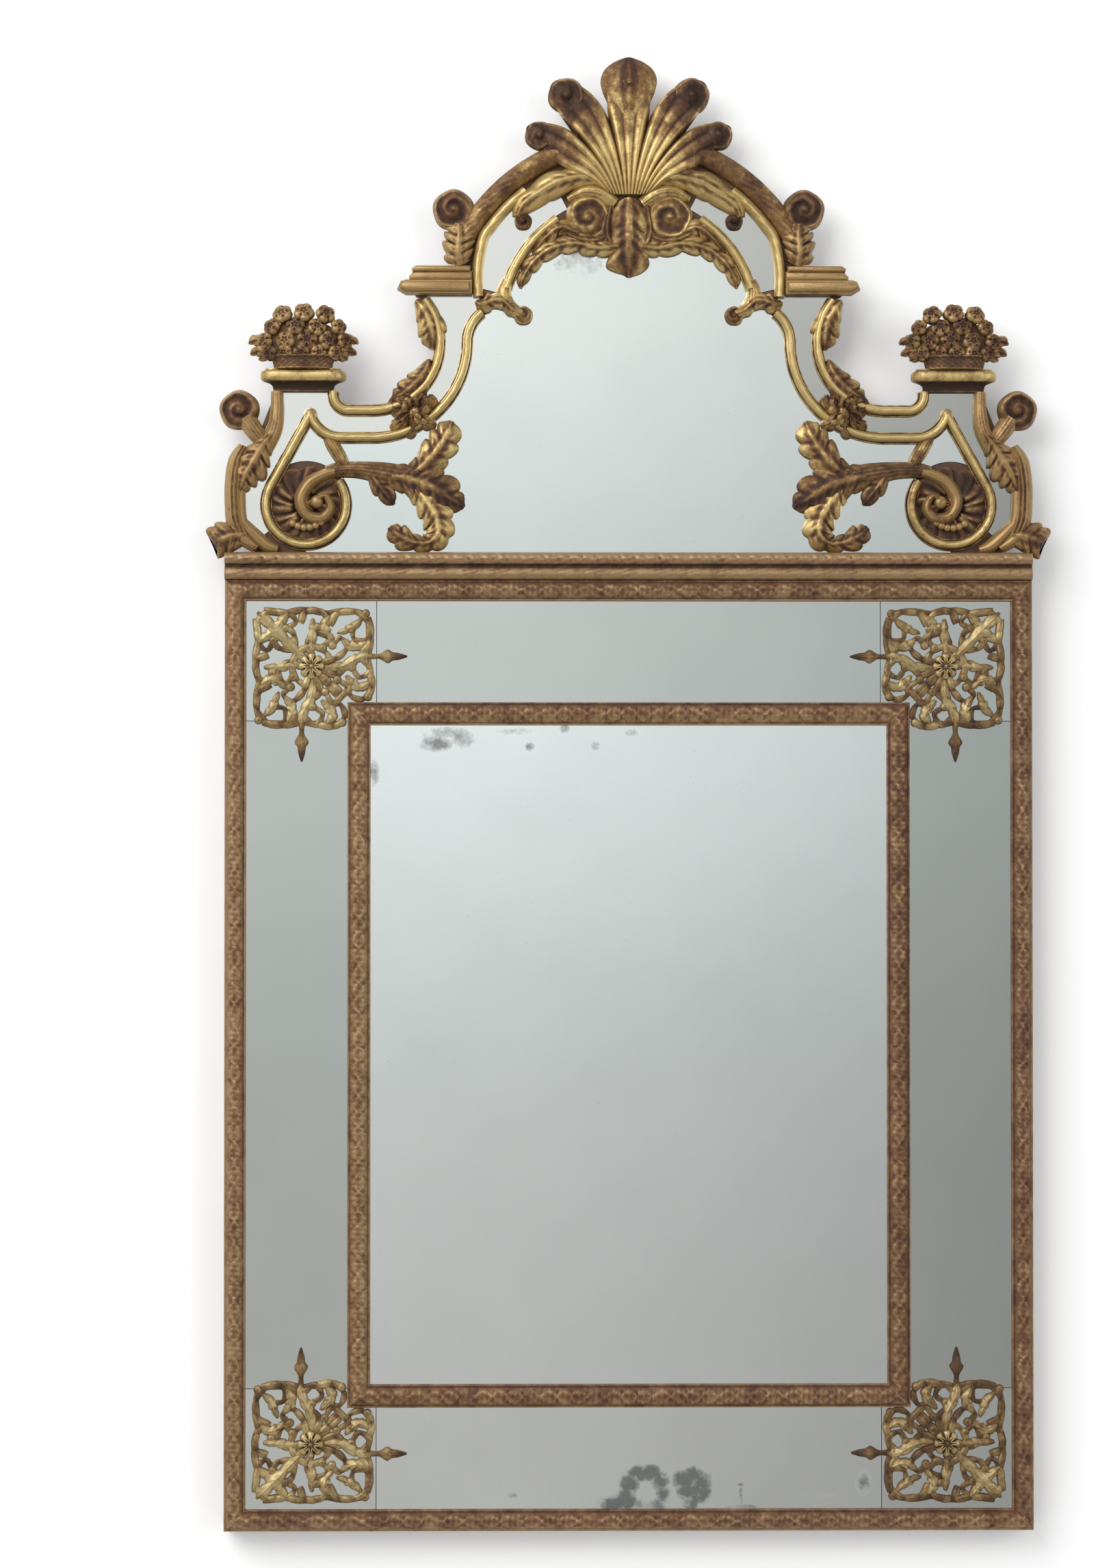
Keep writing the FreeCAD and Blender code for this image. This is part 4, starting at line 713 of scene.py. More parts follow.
def beadProfile():
    # fillet, quirk, round, quirk, fillet
    half, crown = scrollMoulding["width"] / 2, scrollMoulding["crown"]
    rows = [(-half, 3.2), (-half + 0.4, 4.0), (-half + 1.5, 4.0), (-half + 1.9, 2.6)]
    turn = np.linspace(math.pi, 0, 11)
    rows += [((half - 2.0) * math.cos(a), 2.9 + (crown - 2.9) * math.sin(a) ** 0.85) for a in turn]
    return rows + [(-across, high) for across, high in rows[3::-1]]


def tangentAngle(start, middle, radius):
    across, up = start[0] - middle[0], start[1] - middle[1]
    return math.degrees(math.atan2(up, across) - math.acos(radius / math.hypot(across, up)))


def carveInnerMoulding():
    look = scrollMoulding
    carving = Carving()
    peak, bracket = look["peak"], look["bracketMiddle"]
    peakTurn = math.degrees(math.atan2(peak[1] - bracket[1], peak[0] - bracket[0])) + 360
    foot = sweepMiddle[1] - look["innerRadius"]
    inner = joinLines(arcLine(look["hookMiddle"], look["hookRadius"], 52, 0),
                      arcLine(sweepMiddle, look["innerRadius"], 180, 270),
                      straight((sweepMiddle[0], foot), (bracket[0], foot)),
                      arcLine(bracket, look["bracketRadius"], 270, peakTurn))
    moulding(carving, inner, beadProfile(), tone=(-0.10, -0.06))
    touch = tangentAngle(peak, ringMiddle, look["ringRadius"])
    leg = joinLines(straight(peak, onCircle(ringMiddle, look["ringRadius"], touch)),
                    arcLine(ringMiddle, look["ringRadius"], touch, -216))
    moulding(carving, leg, beadProfile(), tone=(-0.05, 0.10))
    polar(carving, peak, 8.2, lambda share, turn: 13.4 * np.sqrt(unit(1.02 - share ** 2)), 8, 24)
    finishPair("inner_moulding", carving, "giltCrest")


def carveSweepMoulding():
    look = scrollMoulding
    carving = Carving()
    foot, (cornerX, cornerZ) = sweepMiddle[1] - look["outerRadius"], look["cornerMiddle"]
    side = cornerX + look["cornerRadius"]
    outer = joinLines(arcLine(sweepMiddle, look["outerRadius"], 141, 270),
                      straight((sweepMiddle[0], foot), (cornerX, foot)),
                      arcLine(look["cornerMiddle"], look["cornerRadius"], 270, 360, 1.0),
                      straight((side, cornerZ), (side, look["outerTop"])))
    moulding(carving, outer, beadProfile(), tone=(-0.10, -0.04))
    for part in look["leaves"]:
        rows = [(*onCircle(sweepMiddle, part["radius"], a), half, high) for a, half, high in part["rows"]]
        leaf(carving, rows, part["lobes"], part["notch"], tone=part["tone"])
    finishPair("sweep_moulding", carving, "giltCrest")


# arch: bands have their near and far radius, low height, rise and tone; the inner band's tone is a painted
# highlight, and the outer band is set darker
archLook = {
    "foot": 25.0, "end": 52.4, "bead": 150.0, "beadFoot": [(177.0, 1447.0), (178.0, 1468.0), (176.5, 1489.0)],
    "bands": {"outer": (206.0, 230.0, 4.6, 11.2, (0.27, 0.36)),
              "inner": (193.0, 205.4, 5.0, 8.4, (-0.24, -0.16))},
    "leaves": {
        "curl": {"edge": 0.3,
                 "rows": [(143, 1466, 7, 13), (147, 1452, 9, 14), (144, 1440, 9, 14), (135, 1431, 8, 13),
                          (126, 1427, 7, 12)]},
        "over": {"lobes": 3, "tone": (0.1, 0.1),
                 "rows": [(181, 1439, 6, 11), (171, 1438, 11, 15), (159, 1442, 11, 16), (148, 1441, 10, 16),
                          (137, 1432, 8, 14), (130, 1427, 4, 10)]}},
    "roll": {"middle": (124.0, 1425.0), "radius": 11.5, "high": 15.0, "turns": 1.3, "tone": 0.1}}


def bandProfile(half, low, rise, points):
    shares = np.linspace(0, 1, points)
    return [(half - 2 * half * t, low + rise * math.sin(math.pi * (0.04 + 0.94 * t)) ** 0.75) for t in shares]


def carveArchBand():
    look = archLook
    carving = Carving()
    for name, (near, far, low, rise, tone) in look["bands"].items():
        radius = (near + far) / 2
        line = arcLine(archMiddle, radius, look["foot"], look["end"])
        if name == "inner":  # the inner bead straightens and runs on down past the ledge
            bend = [tuple(onCircle(archMiddle, radius, a)) for a in (31, 36, 41, 46, look["end"])]
            line = curveThrough(look["beadFoot"] + bend, lineStep)
        moulding(carving, line, bandProfile((far - near) / 2, low, rise, 14), tone=tone)
    finishPair("arch_band", carving, "giltCrest")


def carveArchBead():
    carving = Carving()
    # the bead is brightened by a painted highlight
    moulding(carving, arcLine(archMiddle, archLook["bead"], 16.5, 56), beadProfile(), tone=(-0.22, -0.22))
    carveLeaves(carving, archLook["leaves"])
    scrollEnd(carving, **archLook["roll"])
    finishPair("arch_bead", carving, "giltCrest")


# shoulder: ledges as an outline and steps of inset and distance from the wall, a leaf and a rolled end
shoulder = {
    "ledges": [([(184, 1449), (262, 1449), (272, 1455), (268, 1464), (262, 1466), (184, 1466)],
                [(0, 36), (0, 50), (0.8, 52.5), (2.5, 52.5), (3.0, 56.5), (5.0, 58)]),
               ([(184, 1465), (258, 1465), (258, 1470), (252, 1476), (184, 1476)],
                [(0, 36), (0, 48), (1.5, 51), (3.0, 52)]),
               ([(186, 1475), (254, 1475), (255, 1479), (250, 1482.5), (186, 1482.5)],
                [(0, 36), (0, 50), (1.0, 53), (2.2, 54)])],
    "leaf": {"lobes": 4, "rows": [(198, 1482, 16, 16), (200, 1494, 19, 20), (200, 1507, 19, 20),
                                  (199, 1519, 17, 18), (200, 1532, 11, 13)]},
    "roll": {"middle": (206.0, 1549.0), "radius": 25.0, "high": 18.0, "turns": 1.7, "hand": -1, "tone": 0.12}}


def carveShoulder():
    carving = Carving()
    for outline, steps in shoulder["ledges"]:
        prism(carving, outline, steps)
    leaf(carving, **shoulder["leaf"])
    scrollEnd(carving, **shoulder["roll"])
    finishPair("shoulder", carving, "giltDark")


# pedestal cap: a rounded block carried up rows of half width and height
pedestal = {"across": 382.0, "low": 1335.0, "flat": 33.0, "deep": 11.0, "neck": 35.0, "depthShare": 0.82,
            "rows": [(35.0, 0.0), (35.5, 3.5), (36.5, 6.5), (39.0, 9.0), (43.0, 10.6), (46.5, 11.6),
                     (49.0, 13.0), (50.0, 15.2), (50.0, 19.5), (49.2, 22.2), (47.0, 23.6), (45.0, 24.2),
                     (44.4, 26.0)],
            "tones": ([9.0, 13.0, 26.0], [0.34, 0.06, 0.10])}  # the neck is darker


def carveCap():
    look, full = pedestal, pedestal["depthShare"]
    quarter = np.linspace(0, 1, 7)[1:] * math.pi / 2
    corners = [(-1.0, t * full, -1.0, 0.0) for t in np.linspace(0, 1, 5)]
    corners += [(-1.0, full, -math.cos(a), math.sin(a)) for a in quarter]
    corners += [(t, full, 0.0, 1.0) for t in np.linspace(-1, 1, 25)]
    corners += [(1.0, full, math.sin(a), math.cos(a)) for a in quarter]
    corners += [(1.0, t * full, 1.0, 0.0) for t in np.linspace(1, 0, 5)[1:]]
    aside, ahead, roundAside, roundAhead = np.array(corners).T
    layers = []
    for half, up in look["rows"]:
        grow = half - look["neck"]
        x = look["across"] + aside * look["flat"] + roundAside * (2.0 + grow)
        d = plateFront + ahead * look["deep"] + np.where(ahead >= full, roundAhead * (1.5 + grow * full), 0)
        layers.append(np.column_stack([x, -d, np.full(len(x), look["low"] + up)]))
    shade = np.interp([up for half, up in look["rows"]], *look["tones"])
    carving = Carving()
    carving.add(np.vstack(layers), skinFaces(len(layers), len(corners)), np.repeat(shade, len(corners)))
    finishPair("pedestal_cap", carving, "giltCrest")


# basket of flowers: flowers are across, up and radius, side leaves drop, reach and lift
basket = {
    "across": 382.0, "deep": 50.0, "foot": 1361.0, "rim": 1376.0, "half": 62.0, "height": 58.0, "thick": 16.0,
    "seed": 11, "spokes": 96, "squash": 0.40,
    "flowers": [(-26, 1424, 12), (-1, 1426, 12.5), (24, 1424, 12), (-41, 1409, 10), (-16, 1409, 11.5),
                (9, 1410, 11.5), (36, 1409, 10.5), (-48, 1393, 9.5), (-29, 1393, 11.5), (-5, 1394, 12.5),
                (20, 1393, 11.5), (44, 1393, 10), (-37, 1379, 9), (-18, 1379, 10), (2, 1379, 10),
                (21, 1379, 10), (38, 1379, 9)],
    "leaves": [(0, 60, 4), (9, 62, 17), (3, 50, -2)]}


def ovalSkin(carving, layers, tone):
    # stacked ovals: half width, half depth and height
    turn = np.linspace(0, 2 * np.pi, basket["spokes"], endpoint=False)
    points = [np.column_stack([basket["across"] + wide * np.cos(turn), -basket["deep"] - thick * np.sin(turn),
                               np.full(len(turn), up)]) for wide, thick, up in layers]
    carving.add(np.vstack(points), skinFaces(len(layers), len(turn)), tone)


def carveBasket():
    look = basket
    rng = np.random.default_rng(look["seed"])
    carving = Carving()
    strands = np.sign(np.sin(24 * np.linspace(0, 2 * np.pi, look["spokes"], endpoint=False)))
    body = []
    for t in np.linspace(0, 1, 13):
        half = 34 + 5 * t ** 1.6 + 2.5 * (t > 0.85) + 0.6 * strands * math.cos(6 * math.pi * t)
        body.append((half, half * look["squash"], look["foot"] + (look["rim"] - look["foot"]) * t))
    ovalSkin(carving, body, 0.05)
    mound = []
    for t in np.linspace(0.02, 1, 14):  # under the flowers
        half = math.cos(t * math.pi / 2) ** 0.7
        up = look["rim"] - 3 + (look["height"] - 14) * math.sin(t * math.pi / 2)
        mound.append(((look["half"] - 12) * half, (look["thick"] - 7) * half, up))
    ovalSkin(carving, mound, 0.25)
    for across, up, size in look["flowers"]:
        share, lift = across / look["half"], (up - look["rim"]) / look["height"]
        hump = math.sqrt(max(0.10, 1 - share ** 2 - 0.7 * lift ** 2))
        x, front, back = look["across"] + across, (look["thick"] - 9.5) * hump, (look["thick"] - 9) * hump
        rose(carving, (x, -look["deep"] - front, up), size, 7.3, 5, 12, 45, twist=rng.uniform(0, 6),
             facing=(share * 0.9, -1.0, lift * 0.8 - 0.1), tone=rng.uniform(-0.02, 0.18))
        rose(carving, (x, -look["deep"] + back, up), size, 6.0, 5, 6, 25, twist=rng.uniform(0, 6),
             facing=(share * 0.9, 1.0, lift * 0.8))
    for side in (-1, 1):
        for drop, reach, lift in look["leaves"]:
            rows = [(34, 4 + drop * 0.5, 5, 9), (46, 6 + drop, 8, 11), (reach - 6, 2 + lift, 6, 9),
                    (reach + 2, lift - 2, 1.5, 5)]
            rows = [(look["across"] + side * x, look["rim"] + up, half, high) for x, up, half, high in rows]
            leaf(carving, rows, lobes=3, base=45.0)
    finishPair("flower_basket", carving, "giltDark")


# console: outer scroll with its rolled end and foot leaf
console = {
    "roll": {"middle": (457.0, 1313.0), "radius": 24.0, "high": 18.0, "turns": 1.7, "tone": 0.10},
    "leaves": {
        "band": {"edge": 0.5, "tone": (-0.12, -0.06),
                 "rows": [(413, 1335, 7, 12), (413, 1312, 8, 13), (416, 1292, 9, 14), (424, 1274, 9, 14),
                          (433, 1256, 8, 13)]},
        "column": {"edge": 0.55, "rib": 0.3, "tone": (-0.14, -0.08),
                   "rows": [(450, 1270, 8, 14), (458, 1252, 12, 17), (462, 1226, 12, 18), (462, 1200, 12, 18),
                            (460, 1182, 12, 17), (452, 1164, 10, 15), (438, 1151, 6, 12)]},
        "shield": {"lobes": 5, "notch": 0.3,
                   "rows": [(419, 1284, 7, 15), (430, 1269, 16, 20), (439, 1253, 21, 22), (449, 1236, 15, 21),
                            (456, 1218, 4, 17)]},
        "stem": {"rows": [(430, 1276, 9, 14), (441, 1291, 11, 15), (450, 1304, 11, 15)]},
        "foot": {"lobes": 3, "notch": 0.16, "tone": (0.10, 0.14),
                 "rows": [(448, 1167, 13, 14), (462, 1165, 20, 18), (473, 1162, 21, 18), (482, 1159, 17, 15),
                          (486, 1157, 6, 10)]},
        "toe": {"edge": 0.3, "tone": (-0.24, -0.24),
                "rows": [(456, 1184, 6, 14), (441, 1168, 8, 16), (425, 1154, 8, 14), (412, 1149, 5, 11)]},
        "heel": {"edge": 0.3, "tone": (-0.14, -0.20),
                 "rows": [(461, 1170, 6, 15), (450, 1160, 8, 16), (436, 1151, 5, 12)]}}}


def carveConsole():
    carving = Carving()
    carveLeaves(carving, console["leaves"])
    scrollEnd(carving, **console["roll"])
    finishPair("console", carving, "giltDark")


# rosette in the eye of the scroll
rosette = {"radius": 46.0, "petals": 9, "high": 11.0, "eye": (366.0, 1205.0), "eyeRadius": 8.0,
           "strand": {"edge": 0.3, "points": 13, "tone": (-0.06, 0.05),
                      "rows": [(345, 1241, 6, 13), (358, 1237, 7, 15), (375, 1227, 8, 17), (385, 1208, 8, 18),
                               (378, 1190, 7, 18), (361, 1186, 7, 17), (350, 1198, 6, 17), (356, 1211, 5, 16),
                               (366, 1208, 4, 15)]},
           "berries": 7, "berryRing": 27.0, "berryStart": 215, "berryStep": 15, "berryRadius": 4.6}


def carveRosette():
    look = rosette
    carving = Carving()

    def rim(turn):
        return 0.84 + 0.16 * np.abs(np.cos(look["petals"] * turn / 2)) ** 0.7

    def shape(share, turn):
        swirl = look["petals"] * turn + 4.2 * share
        petal = np.abs(np.cos(swirl / 2)) ** 0.6
        rib = hump(np.mod(swirl / (2 * np.pi) + 0.5, 1) - 0.5, 0.10)
        uneven = 0.55 + 0.30 * np.sin(2 * turn + 0.8) + 0.15 * np.sin(5 * turn)
        body = 0.30 + 0.62 * uneven * petal * np.sin(np.pi * unit(share) ** 0.9) - 0.16 * rib * share
        eye = 0.65 * hump(share, 0.2) - 0.3 * hump(share - 0.3, 0.07)
        return look["high"] * (body + eye)

    polar(carving, ringMiddle, look["radius"], shape, 26, 144, rim, tone=0.06)
    leaf(carving, **look["strand"])
    ball(carving, look["eye"], look["eyeRadius"], plateFront + 6)
    for i in range(look["berries"]):
        spot = onCircle(ringMiddle, look["berryRing"], look["berryStart"] + look["berryStep"] * i)
        ball(carving, tuple(spot), look["berryRadius"], plateFront + 6, -0.2)
    finishPair("scroll_rosette", carving, "giltDark")


# acanthus spray
spray = {
    "stem": {"edge": 0.3, "tone": (0.20, 0.30),
             "rows": [(355, 1240, 8, 11), (340, 1243, 9, 12), (316, 1243, 10, 13), (288, 1239, 13, 14),
                      (262, 1234, 14, 14)]},
    "upper": {"lobes": 4, "notch": 0.28, "tone": (0.30, 0.06),
              "rows": [(266, 1234, 10, 11), (246, 1244, 17, 14), (228, 1262, 21, 15), (214, 1284, 16, 13),
                       (208, 1300, 3, 6)]},
    "tip": {"lobes": 5, "notch": 0.28, "tone": (0.24, 0.34),
            "rows": [(290, 1238, 11, 11), (260, 1232, 23, 15), (231, 1222, 26, 16), (210, 1209, 16, 13),
                     (194, 1200, 3, 6)]},
    "fall": {"lobes": 8, "notch": 0.28, "tone": (-0.04, 0.28),
             "rows": [(256, 1228, 13, 11), (238, 1207, 19, 14), (226, 1187, 20, 15), (224, 1168, 16, 15),
                      (234, 1158, 11, 13), (247, 1157, 11, 13), (261, 1161, 15, 15), (273, 1168, 11, 13),
                      (281, 1175, 3, 7)]},
    "drop": {"lobes": 2, "notch": 0.28, "tone": (0.24, 0.3),
             "rows": [(304, 1240, 8, 9), (294, 1226, 12, 12), (283, 1212, 9, 10), (276, 1203, 2, 6)]},
    "sprig": {"edge": 0.3, "tone": (0.1, 0.12),
              "rows": [(331, 1245, 5, 10), (339, 1258, 8, 13), (349, 1274, 8, 12), (357, 1286, 4, 9)]}}


def carveSpray():
    carving = Carving()
    carveLeaves(carving, spray)
    finishPair("acanthus_spray", carving, "giltCrest")


# leaf clasp over the mouldings of the sweep: rings of leaves have a count, reach and height
clasp = {"middle": (253.0, 1310.0), "rings": [(12, 36.0, 14.0), (9, 24.0, 19.0)], "berries": 9, "seed": 8}


def carveClasp():
    look = clasp
    rng = np.random.default_rng(look["seed"])
    carving = Carving()
    for count, reach, high in look["rings"]:
        for i in range(count):
            turn = 360.0 * i / count + rng.uniform(-14, 14)
            bend = turn + rng.uniform(-40, 40)
            far = reach * rng.uniform(0.80, 1.0) * (1 - 0.18 * abs(math.sin(math.radians(turn))))
            rows = [(0.2, turn, 4, high), (0.5, turn, 6.5, high + 2), (0.8, 0.5 * (turn + bend), 6.5, high),
                    (1, bend, 2.5, high - 6)]
            rows = [(*onCircle(look["middle"], far * share, a), half, rise) for share, a, half, rise in rows]
            leaf(carving, rows, lobes=2, notch=0.24, tone=(0.26, rng.uniform(0.0, 0.20)))
    for i in range(look["berries"]):
        spot = onCircle(look["middle"], rng.uniform(0, 17), rng.uniform(0, 360))
        ball(carving, tuple(spot), rng.uniform(4.0, 6.0), plateFront + 14, rng.uniform(-0.05, 0.2))
    finishPair("leaf_clasp", carving, "giltDark")


# palmette: three lines of its fan, its rise and tone from foot to tip, and its rolled lobes
palmette = {
    "lines": [[(0, 1567), (0, 1592), (0, 1624), (0, 1652), (0, 1684), (0, 1713), (0, 1729.5)],
              [(10, 1567), (19, 1596), (33, 1628), (50, 1657), (66, 1677), (80, 1692), (90, 1703)],
              [(20, 1568), (37, 1591), (60, 1611), (84, 1626), (104, 1636), (116, 1641), (123, 1644)]],
    "rise": [(0.0, 14), (0.10, 18), (0.30, 20.5), (0.60, 19), (0.76, 15), (0.9, 9), (1.0, 6)],
    "tone": [(0.0, -0.34), (0.35, -0.20), (0.58, 0.06), (0.76, 0.27), (0.9, 0.45), (1.0, 0.55)],
    "head": {"edge": 0.45, "tone": (0.16, 0.40),
             "rows": [(0, 1662, 18, 18), (0, 1676, 25, 21), (0, 1690, 31, 21), (0, 1703, 33, 20),
                      (0, 1715, 28, 17), (0, 1724, 17, 13), (0, 1729.3, 5, 8)]},
    "headRoll": {"middle": (0, 1697), "radius": 15.0, "high": 25.0, "turns": 0.9, "tone": 0.10},
    "sideRolls": [(73.5, 1684, 22.0, 20.0), (105, 1637, 17.5, 19.0)]}  # x, z, radius and height


def fanSurface(carving):
    # one fan of fine ridges that spread from the foot and part into five lobes
    steps, ridges = 64, 6
    t = np.linspace(-1.2, 1.2, 241)[:, None]
    lobe = np.abs(np.cos(2 * np.pi * t))
    u = np.linspace(0, 1, steps)[None, :] * (0.56 + 0.42 * lobe ** 0.85)
    x, z = [], []
    for points in palmette["lines"]:
        line = curveThrough(points, 1.0)
        at = np.linspace(0, 1, len(line))
        x.append(np.interp(u, at, line[:, 0]))
        z.append(np.interp(u, at, line[:, 1]))
    a = (8 * x[1] - x[2]) / 3
    across = a * t + (x[2] - a) * t ** 3
    c = (16 * (z[1] - z[0]) - (z[2] - z[0])) / 3
    up = z[0] + c * t ** 2 + (z[2] - z[0] - c) * t ** 4
    rise = np.interp(u, *zip(*palmette["rise"]))
    head = unit((u - 0.78) / 0.14)
    ridge = np.abs(np.cos(np.pi * ridges * t)) ** 0.9
    parting = hump(np.abs(t) % 0.5 - 0.25, 0.03) * unit((u - 0.12) / 0.4)
    valley = (1 - lobe ** 0.7) * unit((u - 0.5) / 0.3)
    front = plateFront + rise - 2.8 * (1 - ridge) * (1 - head) - 6.0 * parting - 7.0 * valley
    front = np.hstack([front, np.full((len(t), 2), plateFront)])
    across, up, u = [np.hstack([rows, rows[:, -1:], rows[:, :1]]) for rows in (across, up, u)]
    tone = np.interp(u, *zip(*palmette["tone"]))
    tone[:, -2:] = -0.25  # bare wood at its back
    carving.add(np.stack([across, -front, up], -1), skinFaces(len(t), steps + 2), tone)


def carvePalmette():
    carving = Carving()
    fanSurface(carving)
    leaf(carving, **palmette["head"])
    scrollEnd(carving, **palmette["headRoll"])
    for side in (-1, 1):
        for x, z, radius, high in palmette["sideRolls"]:
            scrollEnd(carving, (side * x, z), radius, high, turns=0.9, hand=side, tone=0.28)
    finishPiece("palmetteCarved", carving, "palmette", "giltCrest")


# leaf along the top of the arch, over the end of its band
archLeaf = {
    "band": {"half": 12.0, "low": 4.6, "rise": 10.5, "points": 12},
    "bandRadius": 218.0, "bandTone": (0.28, 0.34),
    "leaf": {"lobes": 3, "notch": 0.14, "tone": (0.06, -0.06),
             "rows": [(26, 1581, 6, 14), (52, 1587, 12, 18), (82, 1581, 16, 20), (106, 1568, 14, 19),
                      (124, 1555, 10, 16), (131, 1542, 6, 13)]},
    "knob": {"middle": (124.0, 1536.0), "radius": 10.5, "high": 16.0, "turns": 1.2, "hand": -1, "tone": 0.24}}


def carveArchLeaf():
    carving = Carving()
    line = arcLine(archMiddle, archLeaf["bandRadius"], 51, 71)
    moulding(carving, line, bandProfile(**archLeaf["band"]), tone=archLeaf["bandTone"])
    leaf(carving, **archLeaf["leaf"])
    scrollEnd(carving, **archLeaf["knob"])
    finishPair("arch_leaf", carving, "giltCrest")


# cartouche: volutes, hanging leaf and side leaves
cartouche = {
    "volute": (48.0, 1540.0), "radius": 27.5,
    "fall": {"lobes": 3, "notch": 0.16, "tone": (0.24, 0.20),
             "rows": [(0, 1563, 18, 15), (0, 1545, 24, 19), (0, 1525, 26, 19), (0, 1508, 24, 18),
                      (0, 1497, 27, 17), (0, 1484, 16, 14), (0, 1471, 2, 7)]},
    "leaves": {
        "cheek": {"lobes": 2, "tone": (0.24, 0.24),
                  "rows": [(20, 1558, 6, 11), (24, 1540, 9, 13), (25, 1522, 11, 14), (20, 1508, 8, 13),
                           (12, 1498, 3, 9)]},
        "under": {"lobes": 3, "tone": (0.20, 0.20),
                  "rows": [(22, 1520, 7, 11), (40, 1513, 10, 14), (60, 1515, 10, 14), (78, 1525, 4, 9)]},
        "side": {"lobes": 6, "tone": (0.10, 0.10),
                 "rows": [(12, 1506, 9, 15), (36, 1504, 11, 16), (64, 1509, 11, 15), (92, 1503, 11, 14),
                          (112, 1488, 10, 12), (124, 1470, 7, 10), (127, 1458, 2, 7)]},
        "link": {"tone": (-0.04, -0.04),
                 "rows": [(16, 1556, 8, 13), (32, 1567, 10, 15), (52, 1570, 9, 14), (72, 1562, 4, 9)]},
        "spandrel": {"lobes": 3, "tone": (0.14, 0.14),
                     "rows": [(60, 1522, 8, 12), (80, 1528, 11, 14), (96, 1518, 9, 13), (112, 1500, 3, 9)]}}}


def carveCartouche():
    carving = Carving()
    leaf(carving, **cartouche["fall"])
    x, z = cartouche["volute"]
    for side in (-1, 1):
        scrollEnd(carving, (side * x, z), cartouche["radius"], 20.0, turns=1.5, hand=-side, tone=0.08)
        carveLeaves(carving, cartouche["leaves"], side)
    finishPiece("cartoucheCarved", carving, "cartouche", "giltCrest")


for carve in (carveCrestRail, carveInnerMoulding, carveSweepMoulding, carveArchBand, carveArchBead,
              carveShoulder, carveCap, carveBasket, carveConsole, carveRosette, carveSpray, carveClasp,
              carvePalmette, carveArchLeaf, carveCartouche):
    carve()
print("crest carved")

# pierced corner ornament: points are shares of its span, and leaves add half width and height
fret = {
    "corner": (449.0, 1089.0), "inset": 6.0, "span": 144.0, "strap": 9.0, "rise": 5.6, "seed": 3,
    "middle": (0.49, 0.49),
    "straps": [
        [(0.06, 0.30), (0.05, 0.14), (0.14, 0.05), (0.30, 0.06), (0.36, 0.13), (0.28, 0.18)],
        [(0.40, 0.14), (0.44, 0.05), (0.56, 0.04), (0.62, 0.12), (0.54, 0.17)],
        [(0.64, 0.16), (0.70, 0.06), (0.86, 0.05), (0.95, 0.14), (0.94, 0.27), (0.84, 0.27), (0.82, 0.18)],
        [(0.97, 0.29), (0.90, 0.40), (0.97, 0.52), (0.88, 0.58), (0.82, 0.50)],
        [(0.97, 0.55), (0.98, 0.68), (0.90, 0.76), (0.80, 0.72), (0.82, 0.62)],
        [(0.50, 0.42), (0.46, 0.30), (0.54, 0.22), (0.63, 0.27), (0.58, 0.34)],
        [(0.44, 0.42), (0.34, 0.36), (0.22, 0.34), (0.17, 0.25), (0.25, 0.22)],
        [(0.58, 0.46), (0.70, 0.42), (0.78, 0.33), (0.72, 0.26), (0.66, 0.32)],
        [(0.58, 0.52), (0.70, 0.56), (0.80, 0.44), (0.92, 0.42)],
        [(0.56, 0.56), (0.66, 0.64), (0.74, 0.72), (0.66, 0.78), (0.60, 0.70)],
        # the border, and the ring round the rosette
        [(0.035, 0.10), (0.055, 0.27), (0.03, 0.44), (0.055, 0.61), (0.035, 0.78), (0.06, 0.93)],
        [(0.95, 0.09), (0.975, 0.25), (0.95, 0.42), (0.975, 0.58), (0.95, 0.74)],
        [(0.376, 0.376), (0.49, 0.329), (0.604, 0.376), (0.651, 0.49), (0.604, 0.604)]],
    "leaves": [
        [(0.40, 0.40, 5, 6), (0.28, 0.28, 8, 8), (0.16, 0.16, 8, 8), (0.05, 0.05, 2, 5)],
        [(0.50, 0.10, 3, 5), (0.50, 0.20, 6, 7), (0.49, 0.30, 5, 6), (0.49, 0.38, 2, 5)],
        [(0.90, 0.10, 3, 5), (0.84, 0.16, 6, 7), (0.76, 0.20, 4, 6), (0.70, 0.22, 1.5, 4)],
        [(0.60, 0.50, 4, 6), (0.74, 0.49, 7, 7), (0.88, 0.42, 6, 7), (0.97, 0.41, 3, 5)],
        [(0.30, 0.06, 4, 6), (0.24, 0.13, 7, 7), (0.20, 0.20, 5, 6), (0.22, 0.27, 2, 5)],
        [(0.64, 0.08, 4, 6), (0.60, 0.15, 7, 7), (0.62, 0.22, 5, 6), (0.67, 0.27, 2, 5)],
        [(0.94, 0.30, 4, 6), (0.86, 0.33, 7, 7), (0.79, 0.31, 5, 6), (0.74, 0.27, 2, 5)],
        [(0.96, 0.62, 4, 6), (0.89, 0.66, 7, 7), (0.82, 0.62, 5, 6), (0.77, 0.57, 2, 5)]],
    "finial": [
        (0.97, 0.41, 3.5, 5), (1.04, 0.41, 3, 5), (1.11, 0.41, 8, 6.5), (1.15, 0.41, 5, 6),
        (1.20, 0.41, 4, 5), (1.27, 0.41, 1, 3)],
    # painted shade of each corner: darker on the right and at the bottom
    "tones": {"top_right": 0.09, "top_left": 0.0, "bottom_right": 0.16, "bottom_left": 0.05}}


def fretSpot(u, v, flipped=False):
    if flipped:
        u, v = v, u
    x, z = fret["corner"]
    return (x - fret["inset"] - u * fret["span"], z - fret["inset"] - v * fret["span"])


